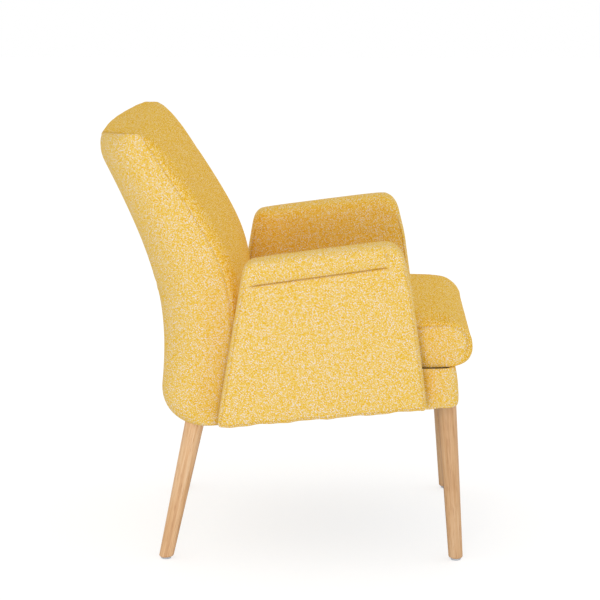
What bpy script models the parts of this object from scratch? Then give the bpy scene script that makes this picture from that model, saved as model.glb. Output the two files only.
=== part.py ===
"""Low-back upholstered armchair: plywood frame, oak legs, webbing, padded covers and a loose seat cushion.

Metres, +Z up. The sitter faces -Y, so the sitter's right hand is at -X. The origin lies on the floor, under
the middle of the chair's outline. Below, the chair's own axes start at the seat's front edge, and the seat's
axes are those tilted with the underside of the seat frame: y runs back along it and z stands square to it.
"""

import math

import bmesh
import bpy
from mathutils import Matrix, Vector

# Clearance between pieces that touch
FIT = 0.0003

# The seat as a whole
SEAT_TILT = math.radians(5.4)
UNDERSIDE_HEIGHT = 0.308  # floor to the underside of the seat frame, at its front edge
SEAT_WIDTH = 0.525  # clear width between the arms
SEAT_DEPTH = 0.3946  # front edge of the seat to the bend in the front of the back

# Seat frame and what hangs on it
DUST_COVER = 0.0012
RAIL_HEIGHT = 0.062
RAIL_THICKNESS = 0.024
SIDE_BOARD = 0.018
LEG_BLOCK_WIDTH = 0.040
LEG_BLOCK_DEPTH = 0.040
LEG_BLOCK_HEIGHT = 0.045
REAR_END_CLEARANCE = 0.001  # rear end of the frame to the inside of the back shell
STRAP_WIDTH = 0.050
STRAP_THICKNESS = 0.0015
SEAT_STRAPS = 5
BACK_STRAPS = 4
DECK_PAD = 0.0094

# Padded border round the front of the seat base
BORDER_THICKNESS = 0.0125
BORDER_PROUD = 0.0042  # how far its face stands before the seat's front edge
BORDER_ROUND = 0.0085  # how far its top and bottom edges draw in
BORDER_CORNER = 0.026
BORDER_RETURN = 0.054  # how far it runs back along each side

# Legs
LEG_TOP_DIAMETER = 0.0375
LEG_FOOT_DIAMETER = 0.0275
LEG_FOOT_ROUND = 0.0035
FRONT_LEG_SETBACK = 0.0115  # leg's centre behind the front of the frame
REAR_LEG_SETBACK = 0.0068  # leg's centre before the rear end of the frame
LEG_SPLAY_SIDE = 0.050  # how far each foot stands outside the top of its leg
FRONT_LEG_RAKE = 0.019  # how far a front foot stands before the top of its leg
REAR_LEG_RAKE = 0.0545  # how far a rear foot stands behind the top of its leg
GLIDE_DIAMETER = 0.020
GLIDE_THICKNESS = 0.004
GLIDE_CHAMFER = 0.0012
NAIL_DIAMETER = 0.003
NAIL_LENGTH = 0.015
BOLT_DIAMETER = 0.008
LEG_BOLT_DEPTH = 0.030  # into the leg
INSERT_DIAMETER = 0.0104
INSERT_LENGTH = 0.020
INSERT_DEPTH = 0.006  # above the top of the leg
BORE_END = 0.003  # past the end of the insert
BORE_WALL = 0.001  # least wood beside a bore

# Back
BACK_SIDE_GAP = 0.0065  # back to the plane of the arm's inner face
BACK_HEIGHT = 0.521  # top of the back above the front edge of the underside
BACK_DEPTH = 0.0918  # bend in the front line to bend in the rear line
FRONT_BEND_HEIGHT = 0.2496  # above the front edge of the underside
FRONT_BEND_SOFTNESS = 0.096
FRONT_UPPER_LEAN = math.radians(34.2)
FRONT_LOWER_LEAN = math.radians(2.0)
REAR_BEND_HEIGHT = 0.1795
REAR_BEND_SOFTNESS = 0.200
REAR_UPPER_LEAN = math.radians(32.5)
REAR_LOWER_LEAN = math.radians(15.2)
BACK_CORNER = 0.050  # rounding of the two rear upright corners, at the bottom
BACK_CORNER_TOP = 0.240  # how far inwards those corners start to turn, at the top
BACK_CORNER_DEPTH = 0.092  # how far forwards they end, at most
BACK_WALL = 0.004
BACK_TOP_ROUND = 0.064
BACK_UNDER_DEPTH = 0.095
BACK_UNDER_HEIGHT = 0.078
BACK_UNDER_OVERRUN = 0.006  # how far below the underside its rounding would close
SEAM_SETBACK = 0.021  # side seam behind the front line
BACK_EDGE = 0.020  # rounding of the padded front's side edges
BACK_LIP = 0.035  # rounding of its top front edge
BACK_TOP_EDGE = 0.006
TOP_PAD = 0.008
BACK_CROWN = 0.004
TOP_CROWN = 0.003
UPRIGHT_DEPTH = 0.024  # least depth of the uprights
PAD_REBATE = 0.008  # how far the padded front goes in behind the seam
REBATE_SLOPE = 0.001
BACK_RAIL_HEIGHT = 0.045
BACK_RAIL_THICKNESS = 0.022
UPRIGHT_DROP = 0.014  # upright's end below the top of the shell

# Arms, outlines in the seat's axes
ARM_THICKNESS = 0.065
ARM_INNER_PAD = 0.020
ARM_BOARD = 0.022
ARM_SETBACK = 0.062  # front bottom corner behind the seat's front edge
ARM_RISE = 0.0095  # bottom edge above the underside
ARM_LENGTH = 0.398  # along the bottom edge
ARM_FRONT_HEIGHT = 0.3225
ARM_REAR_HEIGHT = 0.3125
ARM_FRONT_RAKE = 0.013
ARM_REAR_RAKE = 0.084
ARM_FRONT_CORNER = 0.034
ARM_REAR_CORNER = 0.022
ARM_FOOT_CORNER = 0.006
ARM_EDGE = 0.009  # rounding of the panels' edges
ARM_ROLL = 0.035  # height of the top roll, down to the tuck on the outside
ARM_BAND = 0.012
ARM_BOLT_HEIGHT = 0.034
ARM_BOLT_INSETS = (0.055, 0.306)  # behind the arm's front bottom corner
BOLT_HEAD_DIAMETER = 0.014
BOLT_HEAD_HEIGHT = 0.0055
ARM_BOLT_BITE = 0.020  # into the arm board

# Seat cushion
CUSHION_SIDE_GAP = 0.008
CUSHION_REAR_GAP = 0.005
CUSHION_HEIGHT = 0.086
CUSHION_CROWN = 0.010
CUSHION_NOSE = 0.0395  # how far the rounded front stands before the front edge
NOSE_UPPER = 1.7  # fullness of the nose above its middle, 2 being an ellipse
NOSE_LOWER = 2.3
CUSHION_SWELL = 0.007
CUSHION_DRAW = 0.004  # how far the sides pull in between the corners
CUSHION_CORNER = 0.022
CUSHION_COVER = 0.003

# Fineness of round shapes, in segments
ROUND_SEGMENTS = 20
BOLT_SEGMENTS = 12
CORNER_SEGMENTS = 5
EDGE_SEGMENTS = 3
SHELL_CORNER_SEGMENTS = 8
BACK_STEPS = 12
CUSHION_STEPS = 10
SHARP_ANGLE = math.radians(35)

# Where the rounded shapes have their rings and stations, as shares of the way
FOOT_RINGS = (0.0, 0.5, 1.0)
UNDER_LEVELS = (0.0, 0.06, 0.17, 0.36, 0.64)
ROUND_LEVELS = (0.4, 0.7, 0.88, 1.0)
CAP_LEVELS = (0.5, 0.85, 1.0)
TOP_POINTS = (0.33, 0.67)
FACE_STATIONS = (0.0, 0.3, 0.55, 0.75, 0.86)
EDGE_STATIONS = (1.0, 0.55)
RIM_STATIONS = (0.07, 0.0)
BORDER_RINGS = (0.0, 0.05, 0.18, 0.5, 0.82, 0.95, 1.0)
SIDE_POINTS = (0.5, 0.0, -0.5)
CROWN_RINGS = (0.93, 0.8, 0.55, 0.28)
BORDER_FLATNESS = 4  # power by which the border's edges round off
CROWN_FLATNESS = 4  # power by which the cushion's crown falls off
EDGE_SHARE = 0.8  # most of a thin layer that its rounded edge may take

# Worked out from the above
ARM_INNER = SEAT_WIDTH / 2
ARM_OUTER = ARM_INNER + ARM_THICKNESS
BACK_HALF = ARM_INNER - BACK_SIDE_GAP
BOARD_OUTER = BACK_HALF - BACK_WALL - 2 * FIT
BOARD_INNER = BOARD_OUTER - SIDE_BOARD
FRAME_FRONT = BORDER_THICKNESS - BORDER_PROUD
FRAME_BOTTOM = DUST_COVER + FIT
FRAME_TOP = FRAME_BOTTOM + RAIL_HEIGHT
STRAP_BOTTOM = FRAME_TOP + FIT
DECK_BOTTOM = STRAP_BOTTOM + STRAP_THICKNESS + FIT
DECK_TOP = DECK_BOTTOM + DECK_PAD
BLOCK_OUTER = BOARD_INNER - FIT
BLOCK_INNER = BLOCK_OUTER - LEG_BLOCK_WIDTH
BLOCK_TOP = FRAME_BOTTOM + LEG_BLOCK_HEIGHT
LEG_ASIDE = (BLOCK_OUTER + BLOCK_INNER) / 2
INSERT_BORE = INSERT_DIAMETER / 2 + FIT
BACK_TOP = UNDERSIDE_HEIGHT + BACK_HEIGHT
BACK_CAP = BACK_TOP - TOP_PAD
SEAT_AXES = Matrix.Translation((0, 0, UNDERSIDE_HEIGHT)) @ Matrix.Rotation(-SEAT_TILT, 4, "X")
BACK_MIDDLE = SEAT_DEPTH + BACK_DEPTH  # where the back's level lines cross their own height


def clear_scene():
    """Start from nothing."""
    for obj in list(bpy.data.objects):
        bpy.data.objects.remove(obj)


def finish(name, colour, roughness, metallic=0.0):
    """A plain surface with its colour, roughness and metallic value."""
    material = bpy.data.materials.new(name)
    material.use_nodes = True
    surface = material.node_tree.nodes["Principled BSDF"]
    surface.inputs["Base Color"].default_value = (*colour, 1.0)
    surface.inputs["Roughness"].default_value = roughness
    surface.inputs["Metallic"].default_value = metallic
    return material


def make_finishes():
    """Every finish of the chair, by name."""
    return {
        "fabric": finish("yellow_fabric", (0.82, 0.55, 0.15), 0.95),
        "oak": finish("light_oak", (0.66, 0.43, 0.26), 0.5),
        "wood": finish("birch_plywood", (0.70, 0.55, 0.37), 0.7),
        "steel": finish("zinc_plated_steel", (0.62, 0.63, 0.65), 0.35, 1.0),
        "webbing": finish("elastic_webbing", (0.09, 0.08, 0.07), 0.9),
        "foam": finish("seat_foam", (0.85, 0.82, 0.70), 0.9),
        "lining": finish("black_lining", (0.03, 0.03, 0.03), 0.9),
        "glide": finish("grey_plastic", (0.70, 0.73, 0.77), 0.45),
    }


def add_empty(name, parent=None, location=(0, 0, 0), tilt=0.0):
    """An axis to hang pieces on."""
    empty = bpy.data.objects.new(name, None)
    empty.location = location
    empty.rotation_euler.x = tilt
    empty.parent = parent
    bpy.context.scene.collection.objects.link(empty)
    return empty


def add_mesh(name, bm, material, parent):
    """One named object from a closed mesh, with its faces turned outwards."""
    bmesh.ops.recalc_face_normals(bm, faces=bm.faces)
    mesh = bpy.data.meshes.new(name)
    bm.to_mesh(mesh)
    bm.free()
    mesh.shade_smooth()
    mesh.set_sharp_from_angle(angle=SHARP_ANGLE)
    if material:
        mesh.materials.append(material)
    obj = bpy.data.objects.new(name, mesh)
    obj.parent = parent
    bpy.context.scene.collection.objects.link(obj)
    return obj


def loft(name, rings, material, parent):
    """A closed body through rings of as many points each, with a flat face on the first and the last."""
    bm = bmesh.new()
    loops = [[bm.verts.new(point) for point in ring] for ring in rings]
    for lower, upper in zip(loops, loops[1:]):
        for i in range(len(lower)):
            before = i - 1
            bm.faces.new((lower[before], lower[i], upper[i], upper[before]))
    bm.faces.new(loops[0])
    bm.faces.new(loops[-1])
    return add_mesh(name, bm, material, parent)


def block(name, low, high, material, parent):
    """A rectangular block between two opposite corners."""
    bm = bmesh.new()
    bmesh.ops.create_cube(bm, size=1.0)
    low = Vector(low)
    high = Vector(high)
    place = Matrix.Translation((low + high) / 2) @ Matrix.Diagonal((*(high - low), 1.0))
    bmesh.ops.transform(bm, matrix=place, verts=bm.verts)
    return add_mesh(name, bm, material, parent)


def circle(centre, radius, along, across, segments):
    """Points round a circle whose plane holds the two directions."""
    turns = [2 * math.pi * i / segments for i in range(segments)]
    return [centre + radius * (math.cos(a) * along + math.sin(a) * across) for a in turns]


def turned(name, profile, segments, material, parent):
    """A body turned round the Z axis from (radius, height) pairs, bottom to top."""
    along = Vector((1, 0, 0))
    across = Vector((0, 1, 0))
    rings = [circle(Vector((0, 0, height)), radius, along, across, segments) for radius, height in profile]
    return loft(name, rings, material, parent)


def cut(obj, cutter):
    """Take a helper body's shape out of an object."""
    boolean = obj.modifiers.new("cut_" + cutter.name, "BOOLEAN")
    boolean.operation = "DIFFERENCE"
    boolean.solver = "EXACT"
    boolean.object = cutter


def helper(obj):
    """Keep a cutter out of the finished chair."""
    obj.hide_render = True
    obj.display_type = "WIRE"
    return obj


def seat_point(x, y, z):
    """A point of the seat's axes in the chair's own."""
    return SEAT_AXES @ Vector((x, y, z))


def along_seat(y, z):
    """How far back along the seat's underside a point of the chair's axes lies."""
    return (SEAT_AXES.inverted() @ Vector((0, y, z))).y


def rounding(radius, reach):
    """How far a rounded edge has drawn in at this reach past where its rounding starts."""
    reach = min(max(reach, 0.0), radius)
    return radius - math.sqrt(radius**2 - reach**2)


def bent_line(height, bend_y, bend_height, upper_lean, lower_lean, softness):
    """Two straight lines that lean away from each other, joined by a hyperbola where they meet."""
    above = height - bend_height
    blend = math.hypot(above, softness)
    return bend_y + math.tan(upper_lean) * (blend + above) / 2 + math.tan(lower_lean) * (blend - above) / 2


def front_line(height):
    """How far back the front of the back lies at a height, at its middle edge."""
    bend = UNDERSIDE_HEIGHT + FRONT_BEND_HEIGHT
    return bent_line(height, SEAT_DEPTH, bend, FRONT_UPPER_LEAN, FRONT_LOWER_LEAN, FRONT_BEND_SOFTNESS)


def seam_line(height):
    """How far back the side seam lies at a height."""
    return front_line(height) + SEAM_SETBACK


def rear_line(height):
    """How far back the rear of the back lies at a height, rounded under at the bottom and over at the top."""
    bend = UNDERSIDE_HEIGHT + REAR_BEND_HEIGHT
    line = bent_line(height, BACK_MIDDLE, bend, REAR_UPPER_LEAN, REAR_LOWER_LEAN, REAR_BEND_SOFTNESS)
    below = back_bottom() + BACK_UNDER_HEIGHT - height
    under = rounding(1.0, below / (BACK_UNDER_HEIGHT + BACK_UNDER_OVERRUN))
    over = rounding(BACK_TOP_ROUND, height - (BACK_TOP - BACK_TOP_ROUND))
    return line - BACK_UNDER_DEPTH * under - over


def back_bottom():
    """Height of the underside of the seat frame below the middle of the back."""
    return UNDERSIDE_HEIGHT - math.tan(SEAT_TILT) * BACK_MIDDLE


def pad_bottom():
    """Lowest level of the padded front, just above the seat deck."""
    return back_bottom() + DECK_TOP / math.cos(SEAT_TILT) + 4 * FIT


def on_level(level, y):
    """A point of a level line: parallel to the seat at the bottom of the back, horizontal at its top."""
    share = (BACK_CAP - level) / (BACK_CAP - back_bottom())
    return y, level - math.tan(SEAT_TILT) * share * (y - BACK_MIDDLE)


def pad_levels():
    """Levels that the padded front and the shell share, from the deck to the top of the shell."""
    low = pad_bottom()
    high = BACK_CAP - BACK_TOP_ROUND
    straight = [low + (high - low) * i / BACK_STEPS for i in range(BACK_STEPS + 1)]
    return straight + [high + (BACK_CAP - high) * share for share in ROUND_LEVELS]


def shell_levels():
    """Levels of the shell: some below the deck, where it rounds under, and those that it shares."""
    low = back_bottom()
    rise = pad_bottom() - low
    return [low + rise * share for share in UNDER_LEVELS] + pad_levels()


def corner_width(level):
    """How far in from the side the shell's rear corners start to turn: little below, almost all above."""
    share = (level - back_bottom()) / (BACK_CAP - back_bottom())
    return BACK_CORNER + (BACK_CORNER_TOP - BACK_CORNER) * share


def corner_depth(level):
    """How far forwards the turn of the rear corners ends, leaving room for the uprights."""
    upright = PAD_REBATE + STRAP_THICKNESS + 3 * FIT + UPRIGHT_DEPTH
    return min(corner_width(level), BACK_CORNER_DEPTH, rear_line(level) - seam_line(level) - upright)


def corner_drop(x, level, inset=0.0):
    """How far forwards a quarter ellipse has brought the rear wall at a distance from the middle."""
    width = corner_width(level) - inset
    aside = min(max(abs(x) - (BACK_HALF - corner_width(level)), 0.0), width)
    return (corner_depth(level) - inset) * (1 - math.sqrt(1 - (aside / width) ** 2)) + inset


def frame_rear(x):
    """Rear end of the seat frame along the seat, where it just clears the shell this far from the middle."""
    low = back_bottom()
    return along_seat(rear_line(low) - corner_drop(x, low, BACK_WALL) - REAR_END_CLEARANCE, low)


def upright_front(level):
    """Front edge of an upright: behind the padded front and a strap."""
    return seam_line(level) + PAD_REBATE + STRAP_THICKNESS + 2 * FIT


def upright_rear(level):
    """Rear edge of an upright: where the shell's side starts to turn."""
    return rear_line(level) - corner_depth(level) - FIT


def cushion_rear():
    """Rear end of the cushion along the seat, before the padded front at its crown."""
    height = pad_bottom() + CUSHION_HEIGHT / 2
    return along_seat(front_line(height) - BACK_CROWN - CUSHION_REAR_GAP, height) - CUSHION_SWELL


def block_knee():
    """How far from the middle the rear blocks keep their full depth: just past the bore."""
    return LEG_ASIDE + INSERT_BORE + BORE_WALL


def leg_tops():
    """Name, side, place on the underside and rake of each leg."""
    front = FRAME_FRONT + FRONT_LEG_SETBACK
    rear = frame_rear(block_knee()) - REAR_LEG_SETBACK
    for side, sign in (("right", -1), ("left", 1)):
        yield "front_" + side, sign, front, -FRONT_LEG_RAKE
        yield "rear_" + side, sign, rear, REAR_LEG_RAKE


def ring_on_plane(top, foot, top_radius, foot_radius, plane_point, plane_normal):
    """Where a tapering leg, as straight lines from top to foot, crosses a plane."""
    axis = (top - foot).normalized()
    along = axis.cross(Vector((0, 1, 0))).normalized()
    across = axis.cross(along)
    ring = []
    uppers = circle(top, top_radius, along, across, ROUND_SEGMENTS)
    lowers = circle(foot, foot_radius, along, across, ROUND_SEGMENTS)
    for upper, lower in zip(uppers, lowers):
        run = upper - lower
        share = plane_normal.dot(plane_point - lower) / plane_normal.dot(run)
        ring.append(lower + share * run)
    return ring, along, across


def make_leg(name, top, foot, material, parent):
    """A conical leg cut to the tilted seat and to the floor, bored for its bolt and for its glide's nail."""
    up = Vector((0, 0, 1))
    square = SEAT_AXES.to_3x3() @ up
    top_radius = LEG_TOP_DIAMETER / 2
    foot_radius = LEG_FOOT_DIAMETER / 2
    outer, along, across = ring_on_plane(top, foot, top_radius, foot_radius, top, square)
    nail = NAIL_DIAMETER / 2 + FIT
    bolt = BOLT_DIAMETER / 2 + FIT
    flat_along = (along - along.dot(up) * up).normalized()
    flat_across = up.cross(flat_along)
    flat_across = flat_across if flat_across.dot(across) > 0 else -flat_across
    nail_end = foot + (NAIL_LENGTH + FIT) * up
    rings = [circle(nail_end, nail, flat_along, flat_across, ROUND_SEGMENTS)]
    rings.append(circle(foot, nail, flat_along, flat_across, ROUND_SEGMENTS))
    for share in FOOT_RINGS:
        turn = share * math.pi / 2
        drawn = LEG_FOOT_ROUND * (1 - math.sin(turn))
        raised = foot + LEG_FOOT_ROUND * (1 - math.cos(turn)) * up
        ring = ring_on_plane(top, foot, top_radius - drawn, foot_radius - drawn, raised, up)[0]
        rings.append(ring)
    rings.append(outer)
    rings.append(ring_on_plane(top, foot, bolt, bolt, top, square)[0])
    bolt_end = top - LEG_BOLT_DEPTH * (top - foot).normalized()
    rings.append(circle(bolt_end, bolt, along, across, ROUND_SEGMENTS))
    return loft("leg_" + name, rings, material, parent)


def make_glide(name, foot, material, parent):
    """A nail-on foot glide: a chamfered disc with its nail."""
    disc = GLIDE_DIAMETER / 2
    nail = NAIL_DIAMETER / 2
    profile = (
        (disc - GLIDE_CHAMFER, 0.0),
        (disc, GLIDE_CHAMFER),
        (disc, GLIDE_THICKNESS),
        (nail, GLIDE_THICKNESS),
        (nail, GLIDE_THICKNESS + NAIL_LENGTH),
    )
    glide = turned("foot_glide_" + name, profile, ROUND_SEGMENTS, material, parent)
    glide.location = (foot.x, foot.y, 0.0)
    return glide


def block_outline(name):
    """Plan of a leg block; a rear one has its outer corner cut off where the shell turns."""
    if name.startswith("front"):
        front = FRAME_FRONT
        rear = FRAME_FRONT + LEG_BLOCK_DEPTH
        return ((BLOCK_INNER, front), (BLOCK_OUTER, front), (BLOCK_OUTER, rear), (BLOCK_INNER, rear))
    knee = block_knee()
    rear = frame_rear(knee)
    front = rear - LEG_BLOCK_DEPTH
    cut_corner = ((BLOCK_OUTER, frame_rear(BLOCK_OUTER)), (knee, rear))
    return ((BLOCK_INNER, front), (BLOCK_OUTER, front), *cut_corner, (BLOCK_INNER, rear))


def make_leg_fixing(name, sign, top, foot, finishes, chair, seat):
    """A leg's corner block, hanger bolt and threaded insert, in line with it; returns the bore's shape."""
    plan = block_outline(name)
    rings = [[(sign * x, y, z) for x, y in plan] for z in (FRAME_BOTTOM, BLOCK_TOP)]
    corner = loft("leg_block_" + name, rings, finishes["wood"], seat)
    bolt = BOLT_DIAMETER / 2
    insert = INSERT_DIAMETER / 2
    insert_end = INSERT_DEPTH + INSERT_LENGTH
    bore = ((INSERT_BORE, -INSERT_DEPTH), (INSERT_BORE, insert_end + BORE_END))
    cutter = helper(turned("bore_" + name, bore, BOLT_SEGMENTS, None, chair))
    cut(corner, cutter)
    sleeve = [(radius, height) for height in (INSERT_DEPTH, insert_end) for radius in (bolt + FIT, insert)]
    outline = (sleeve[0], sleeve[1], sleeve[3], sleeve[2])
    nut = tube("threaded_insert_" + name, outline, BOLT_SEGMENTS, finishes["steel"], chair)
    shank = ((bolt, FIT - LEG_BOLT_DEPTH), (bolt, insert_end))
    hanger = turned("hanger_bolt_" + name, shank, BOLT_SEGMENTS, finishes["steel"], chair)
    axis = Vector((0, 0, 1)).rotation_difference(top - foot)
    for obj in (cutter, nut, hanger):
        obj.location = top
        obj.rotation_euler = axis.to_euler()
    return cutter


def tube(name, profile, segments, material, parent):
    """A ring turned round the Z axis from a closed (radius, height) outline."""
    bm = bmesh.new()
    loops = []
    for i in range(segments):
        turn = 2 * math.pi * i / segments
        loops.append([bm.verts.new((r * math.cos(turn), r * math.sin(turn), z)) for r, z in profile])
    for i in range(segments):
        for j in range(len(profile)):
            here = loops[i - 1]
            there = loops[i]
            bm.faces.new((here[j - 1], here[j], there[j], there[j - 1]))
    return add_mesh(name, bm, material, parent)


def make_legs(finishes, chair, seat):
    """Four legs with their glides, blocks, bolts and inserts; returns the bores for the dust cover."""
    bores = []
    for name, sign, y, rake in leg_tops():
        top = seat_point(sign * LEG_ASIDE, y, -FIT)
        foot = Vector((sign * (LEG_ASIDE + LEG_SPLAY_SIDE), top.y + rake, GLIDE_THICKNESS + FIT))
        make_leg(name, top, foot, finishes["oak"], chair)
        make_glide(name, foot, finishes["glide"], chair)
        bores.append(make_leg_fixing(name, sign, top, foot, finishes, chair, seat))
    return bores


def extrude_aside(name, outline, x_low, x_high, material, parent):
    """A board whose (y, z) outline runs sideways from one plane to another."""
    rings = [[(x, y, z) for y, z in outline] for x in (x_low, x_high)]
    return loft(name, rings, material, parent)


def side_board_outline():
    """Seat side rail and back upright in one, in the chair's axes."""
    levels = shell_levels()
    shared = pad_levels()
    top = BACK_CAP - UPRIGHT_DROP
    rear = [on_level(level, upright_rear(level)) for level in levels if level < top]
    rear[0] = (rear[0][0], rear[0][1] + FRAME_BOTTOM / math.cos(SEAT_TILT))
    front = [on_level(level, upright_front(level)) for level in shared if level < top]
    shoulder = along_seat(*front[0])
    rail = [seat_point(0, shoulder, FRAME_TOP), seat_point(0, FRAME_FRONT, FRAME_TOP)]
    rail.append(seat_point(0, FRAME_FRONT, FRAME_BOTTOM))
    return rear + front[::-1] + [(point.y, point.z) for point in rail]


def make_frame(finishes, chair, seat):
    """Side boards, seat rails and back rails; returns the side boards by side."""
    wood = finishes["wood"]
    boards = {}
    for side, sign in (("right", -1), ("left", 1)):
        edges = (sign * BOARD_INNER, sign * BOARD_OUTER)
        boards[side] = extrude_aside("side_board_" + side, side_board_outline(), *edges, wood, chair)
    reach = BLOCK_INNER - FIT
    rear = frame_rear(block_knee())
    block(
        "front_rail",
        (-reach, FRAME_FRONT, FRAME_BOTTOM),
        (reach, FRAME_FRONT + RAIL_THICKNESS, FRAME_TOP),
        wood,
        seat,
    )
    block("rear_rail", (-reach, rear - RAIL_THICKNESS, FRAME_BOTTOM), (reach, rear, FRAME_TOP), wood, seat)
    heights = {
        "back_top_rail": BACK_CAP - BACK_RAIL_HEIGHT,
        "back_lumbar_rail": pad_bottom() + 2 * BACK_RAIL_HEIGHT,
    }
    half = Vector((BOARD_INNER - FIT, BACK_RAIL_THICKNESS / 2, BACK_RAIL_HEIGHT / 2))
    for name, height in heights.items():
        rail = block(name, -half, half, wood, chair)
        rail.location = (0, (upright_front(height) + upright_rear(height)) / 2, height)
        step = BACK_RAIL_HEIGHT / 2
        run = upright_front(height + step) - upright_front(height - step)
        rail.rotation_euler.x = -math.atan2(run, BACK_RAIL_HEIGHT)
    return boards


def make_straps(finishes, chair, seat):
    """Seat straps from front rail to rear rail, and back straps across the uprights."""
    webbing = finishes["webbing"]
    span = 2 * (BLOCK_INNER - FIT)
    for i in range(SEAT_STRAPS):
        middle = span * ((i + 0.5) / SEAT_STRAPS - 0.5)
        block(
            f"seat_strap_{i + 1}",
            (middle - STRAP_WIDTH / 2, FRAME_FRONT, STRAP_BOTTOM),
            (middle + STRAP_WIDTH / 2, frame_rear(block_knee()), STRAP_BOTTOM + STRAP_THICKNESS),
            webbing,
            seat,
        )
    levels = pad_levels()
    low = levels[0]
    high = BACK_CAP - UPRIGHT_DROP - STRAP_WIDTH
    for i in range(BACK_STRAPS):
        start = low + (high - low) * (i + 0.5) / BACK_STRAPS
        end = start + STRAP_WIDTH
        run = [start] + [level for level in levels if start < level < end] + [end]
        front = [pad_rear_point(level) for level in run]
        face = [(y + FIT, z) for y, z in front]
        rear = [(y + FIT + STRAP_THICKNESS, z) for y, z in reversed(front)]
        extrude_aside(f"back_strap_{i + 1}", face + rear, -BOARD_OUTER, BOARD_OUTER, webbing, chair)


def pad_rear_point(level):
    """A point of the padded front's rear face, on the straight line between the levels beside it."""
    levels = pad_levels()
    below = max(i for i in range(len(levels) - 1) if levels[i] <= level)
    share = (level - levels[below]) / (levels[below + 1] - levels[below])
    low, high = (Vector(on_level(at, seam_line(at) + PAD_REBATE)) for at in levels[below : below + 2])
    point = low.lerp(high, share)
    return point.x, point.y


def border_section(z):
    """Plan of the padded border at a height: round the front corners, in along the sides and back again."""
    drawn = BORDER_ROUND * abs(2 * z / DECK_TOP - 1) ** BORDER_FLATNESS
    outer_x = BOARD_OUTER + BORDER_THICKNESS - drawn
    outer_y = FRAME_FRONT - BORDER_THICKNESS + drawn
    inner_x = BOARD_OUTER + FIT
    inner_y = FRAME_FRONT - FIT
    radius = BORDER_CORNER - drawn
    centre_x = outer_x - radius
    centre_y = outer_y + radius
    turns = [math.pi / 2 * i / CORNER_SEGMENTS for i in range(CORNER_SEGMENTS + 1)]
    half = [(outer_x, BORDER_RETURN)]
    half += [(centre_x + radius * math.cos(a), centre_y - radius * math.sin(a)) for a in turns]
    outer = half + [(-x, y) for x, y in reversed(half)]
    inner = [(-inner_x, BORDER_RETURN), (-inner_x, inner_y), (inner_x, inner_y), (inner_x, BORDER_RETURN)]
    return [(x, y, z) for x, y in outer + inner]


def make_seat_cover(finishes, seat, bores):
    """Border, side strips, deck pad and dust cover; returns the side strips by side."""
    fabric = finishes["fabric"]
    rings = [border_section(DECK_TOP * share) for share in BORDER_RINGS]
    loft("seat_border", rings, fabric, seat)
    beside = [level for level in shell_levels() if level <= pad_bottom()]
    shoulder = min(along_seat(*on_level(level, seam_line(level))) for level in beside)
    strips = {}
    for side, sign in (("right", -1), ("left", 1)):
        edges = sorted((sign * (BOARD_OUTER + FIT), sign * (ARM_INNER - FIT)))
        strips[side] = block(
            "base_side_pad_" + side,
            (edges[0], BORDER_RETURN + FIT, FRAME_BOTTOM),
            (edges[1], shoulder - FIT, DECK_TOP),
            fabric,
            seat,
        )
    deck_rear = along_seat(*on_level(pad_bottom(), upright_front(pad_bottom()))) - STRAP_THICKNESS
    block(
        "seat_deck",
        (-BOARD_OUTER, FRAME_FRONT, DECK_BOTTOM),
        (BOARD_OUTER, deck_rear, DECK_TOP),
        finishes["lining"],
        seat,
    )
    turns = (BLOCK_OUTER, block_knee())
    edge = [(BOARD_OUTER, FRAME_FRONT), (BOARD_OUTER, along_seat(upright_rear(back_bottom()), back_bottom()))]
    edge += [(x, frame_rear(x)) for x in turns]
    outline = edge + [(-x, y) for x, y in reversed(edge)]
    faces = [[(x, y, z) for x, y in outline] for z in (0.0, DUST_COVER)]
    sheet = loft("dust_cover", faces, finishes["lining"], seat)
    for bore in bores:
        cut(sheet, bore)
    return strips


def shell_section(level):
    """Plan of the back shell at a level: along one side, round the rear, along the other side, and back."""
    seam = seam_line(level) + FIT / 2
    centre_x = BACK_HALF - corner_width(level)
    centre_y = rear_line(level) - corner_depth(level)
    turns = [math.pi / 2 * i / SHELL_CORNER_SEGMENTS for i in range(SHELL_CORNER_SEGMENTS + 1)]
    paths = []
    for offset in (0.0, BACK_WALL):
        width = corner_width(level) - offset
        depth = corner_depth(level) - offset
        half = [(BACK_HALF - offset, seam)]
        half += [(centre_x + width * math.cos(a), centre_y + depth * math.sin(a)) for a in turns]
        paths.append(half + [(-x, y) for x, y in reversed(half)])
    return [(x, *on_level(level, y)) for x, y in paths[0] + paths[1][::-1]]


def pad_front_point(level, x):
    """A point of the padded front's face, rounded at its edges and crowned between them."""
    aside = max(abs(x) - (BACK_HALF - BACK_EDGE), 0.0) / BACK_EDGE
    over = max(level - (BACK_TOP - BACK_LIP), 0.0) / BACK_LIP
    reach = math.hypot(aside, over)
    radius = (BACK_EDGE * aside + BACK_LIP * over) / (aside + over) if reach else BACK_EDGE
    share = (level - pad_bottom()) / (BACK_TOP - pad_bottom())
    crown = BACK_CROWN * math.sin(math.pi * share) * (1 - (x / BACK_HALF) ** 2)
    spare = (1 - aside) * max(level - BACK_CAP, 0.0) / TOP_PAD
    most = BACK_EDGE + (BACK_LIP - BACK_EDGE) * spare
    return front_line(level) + min(radius * rounding(1.0, reach), most) - crown


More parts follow.
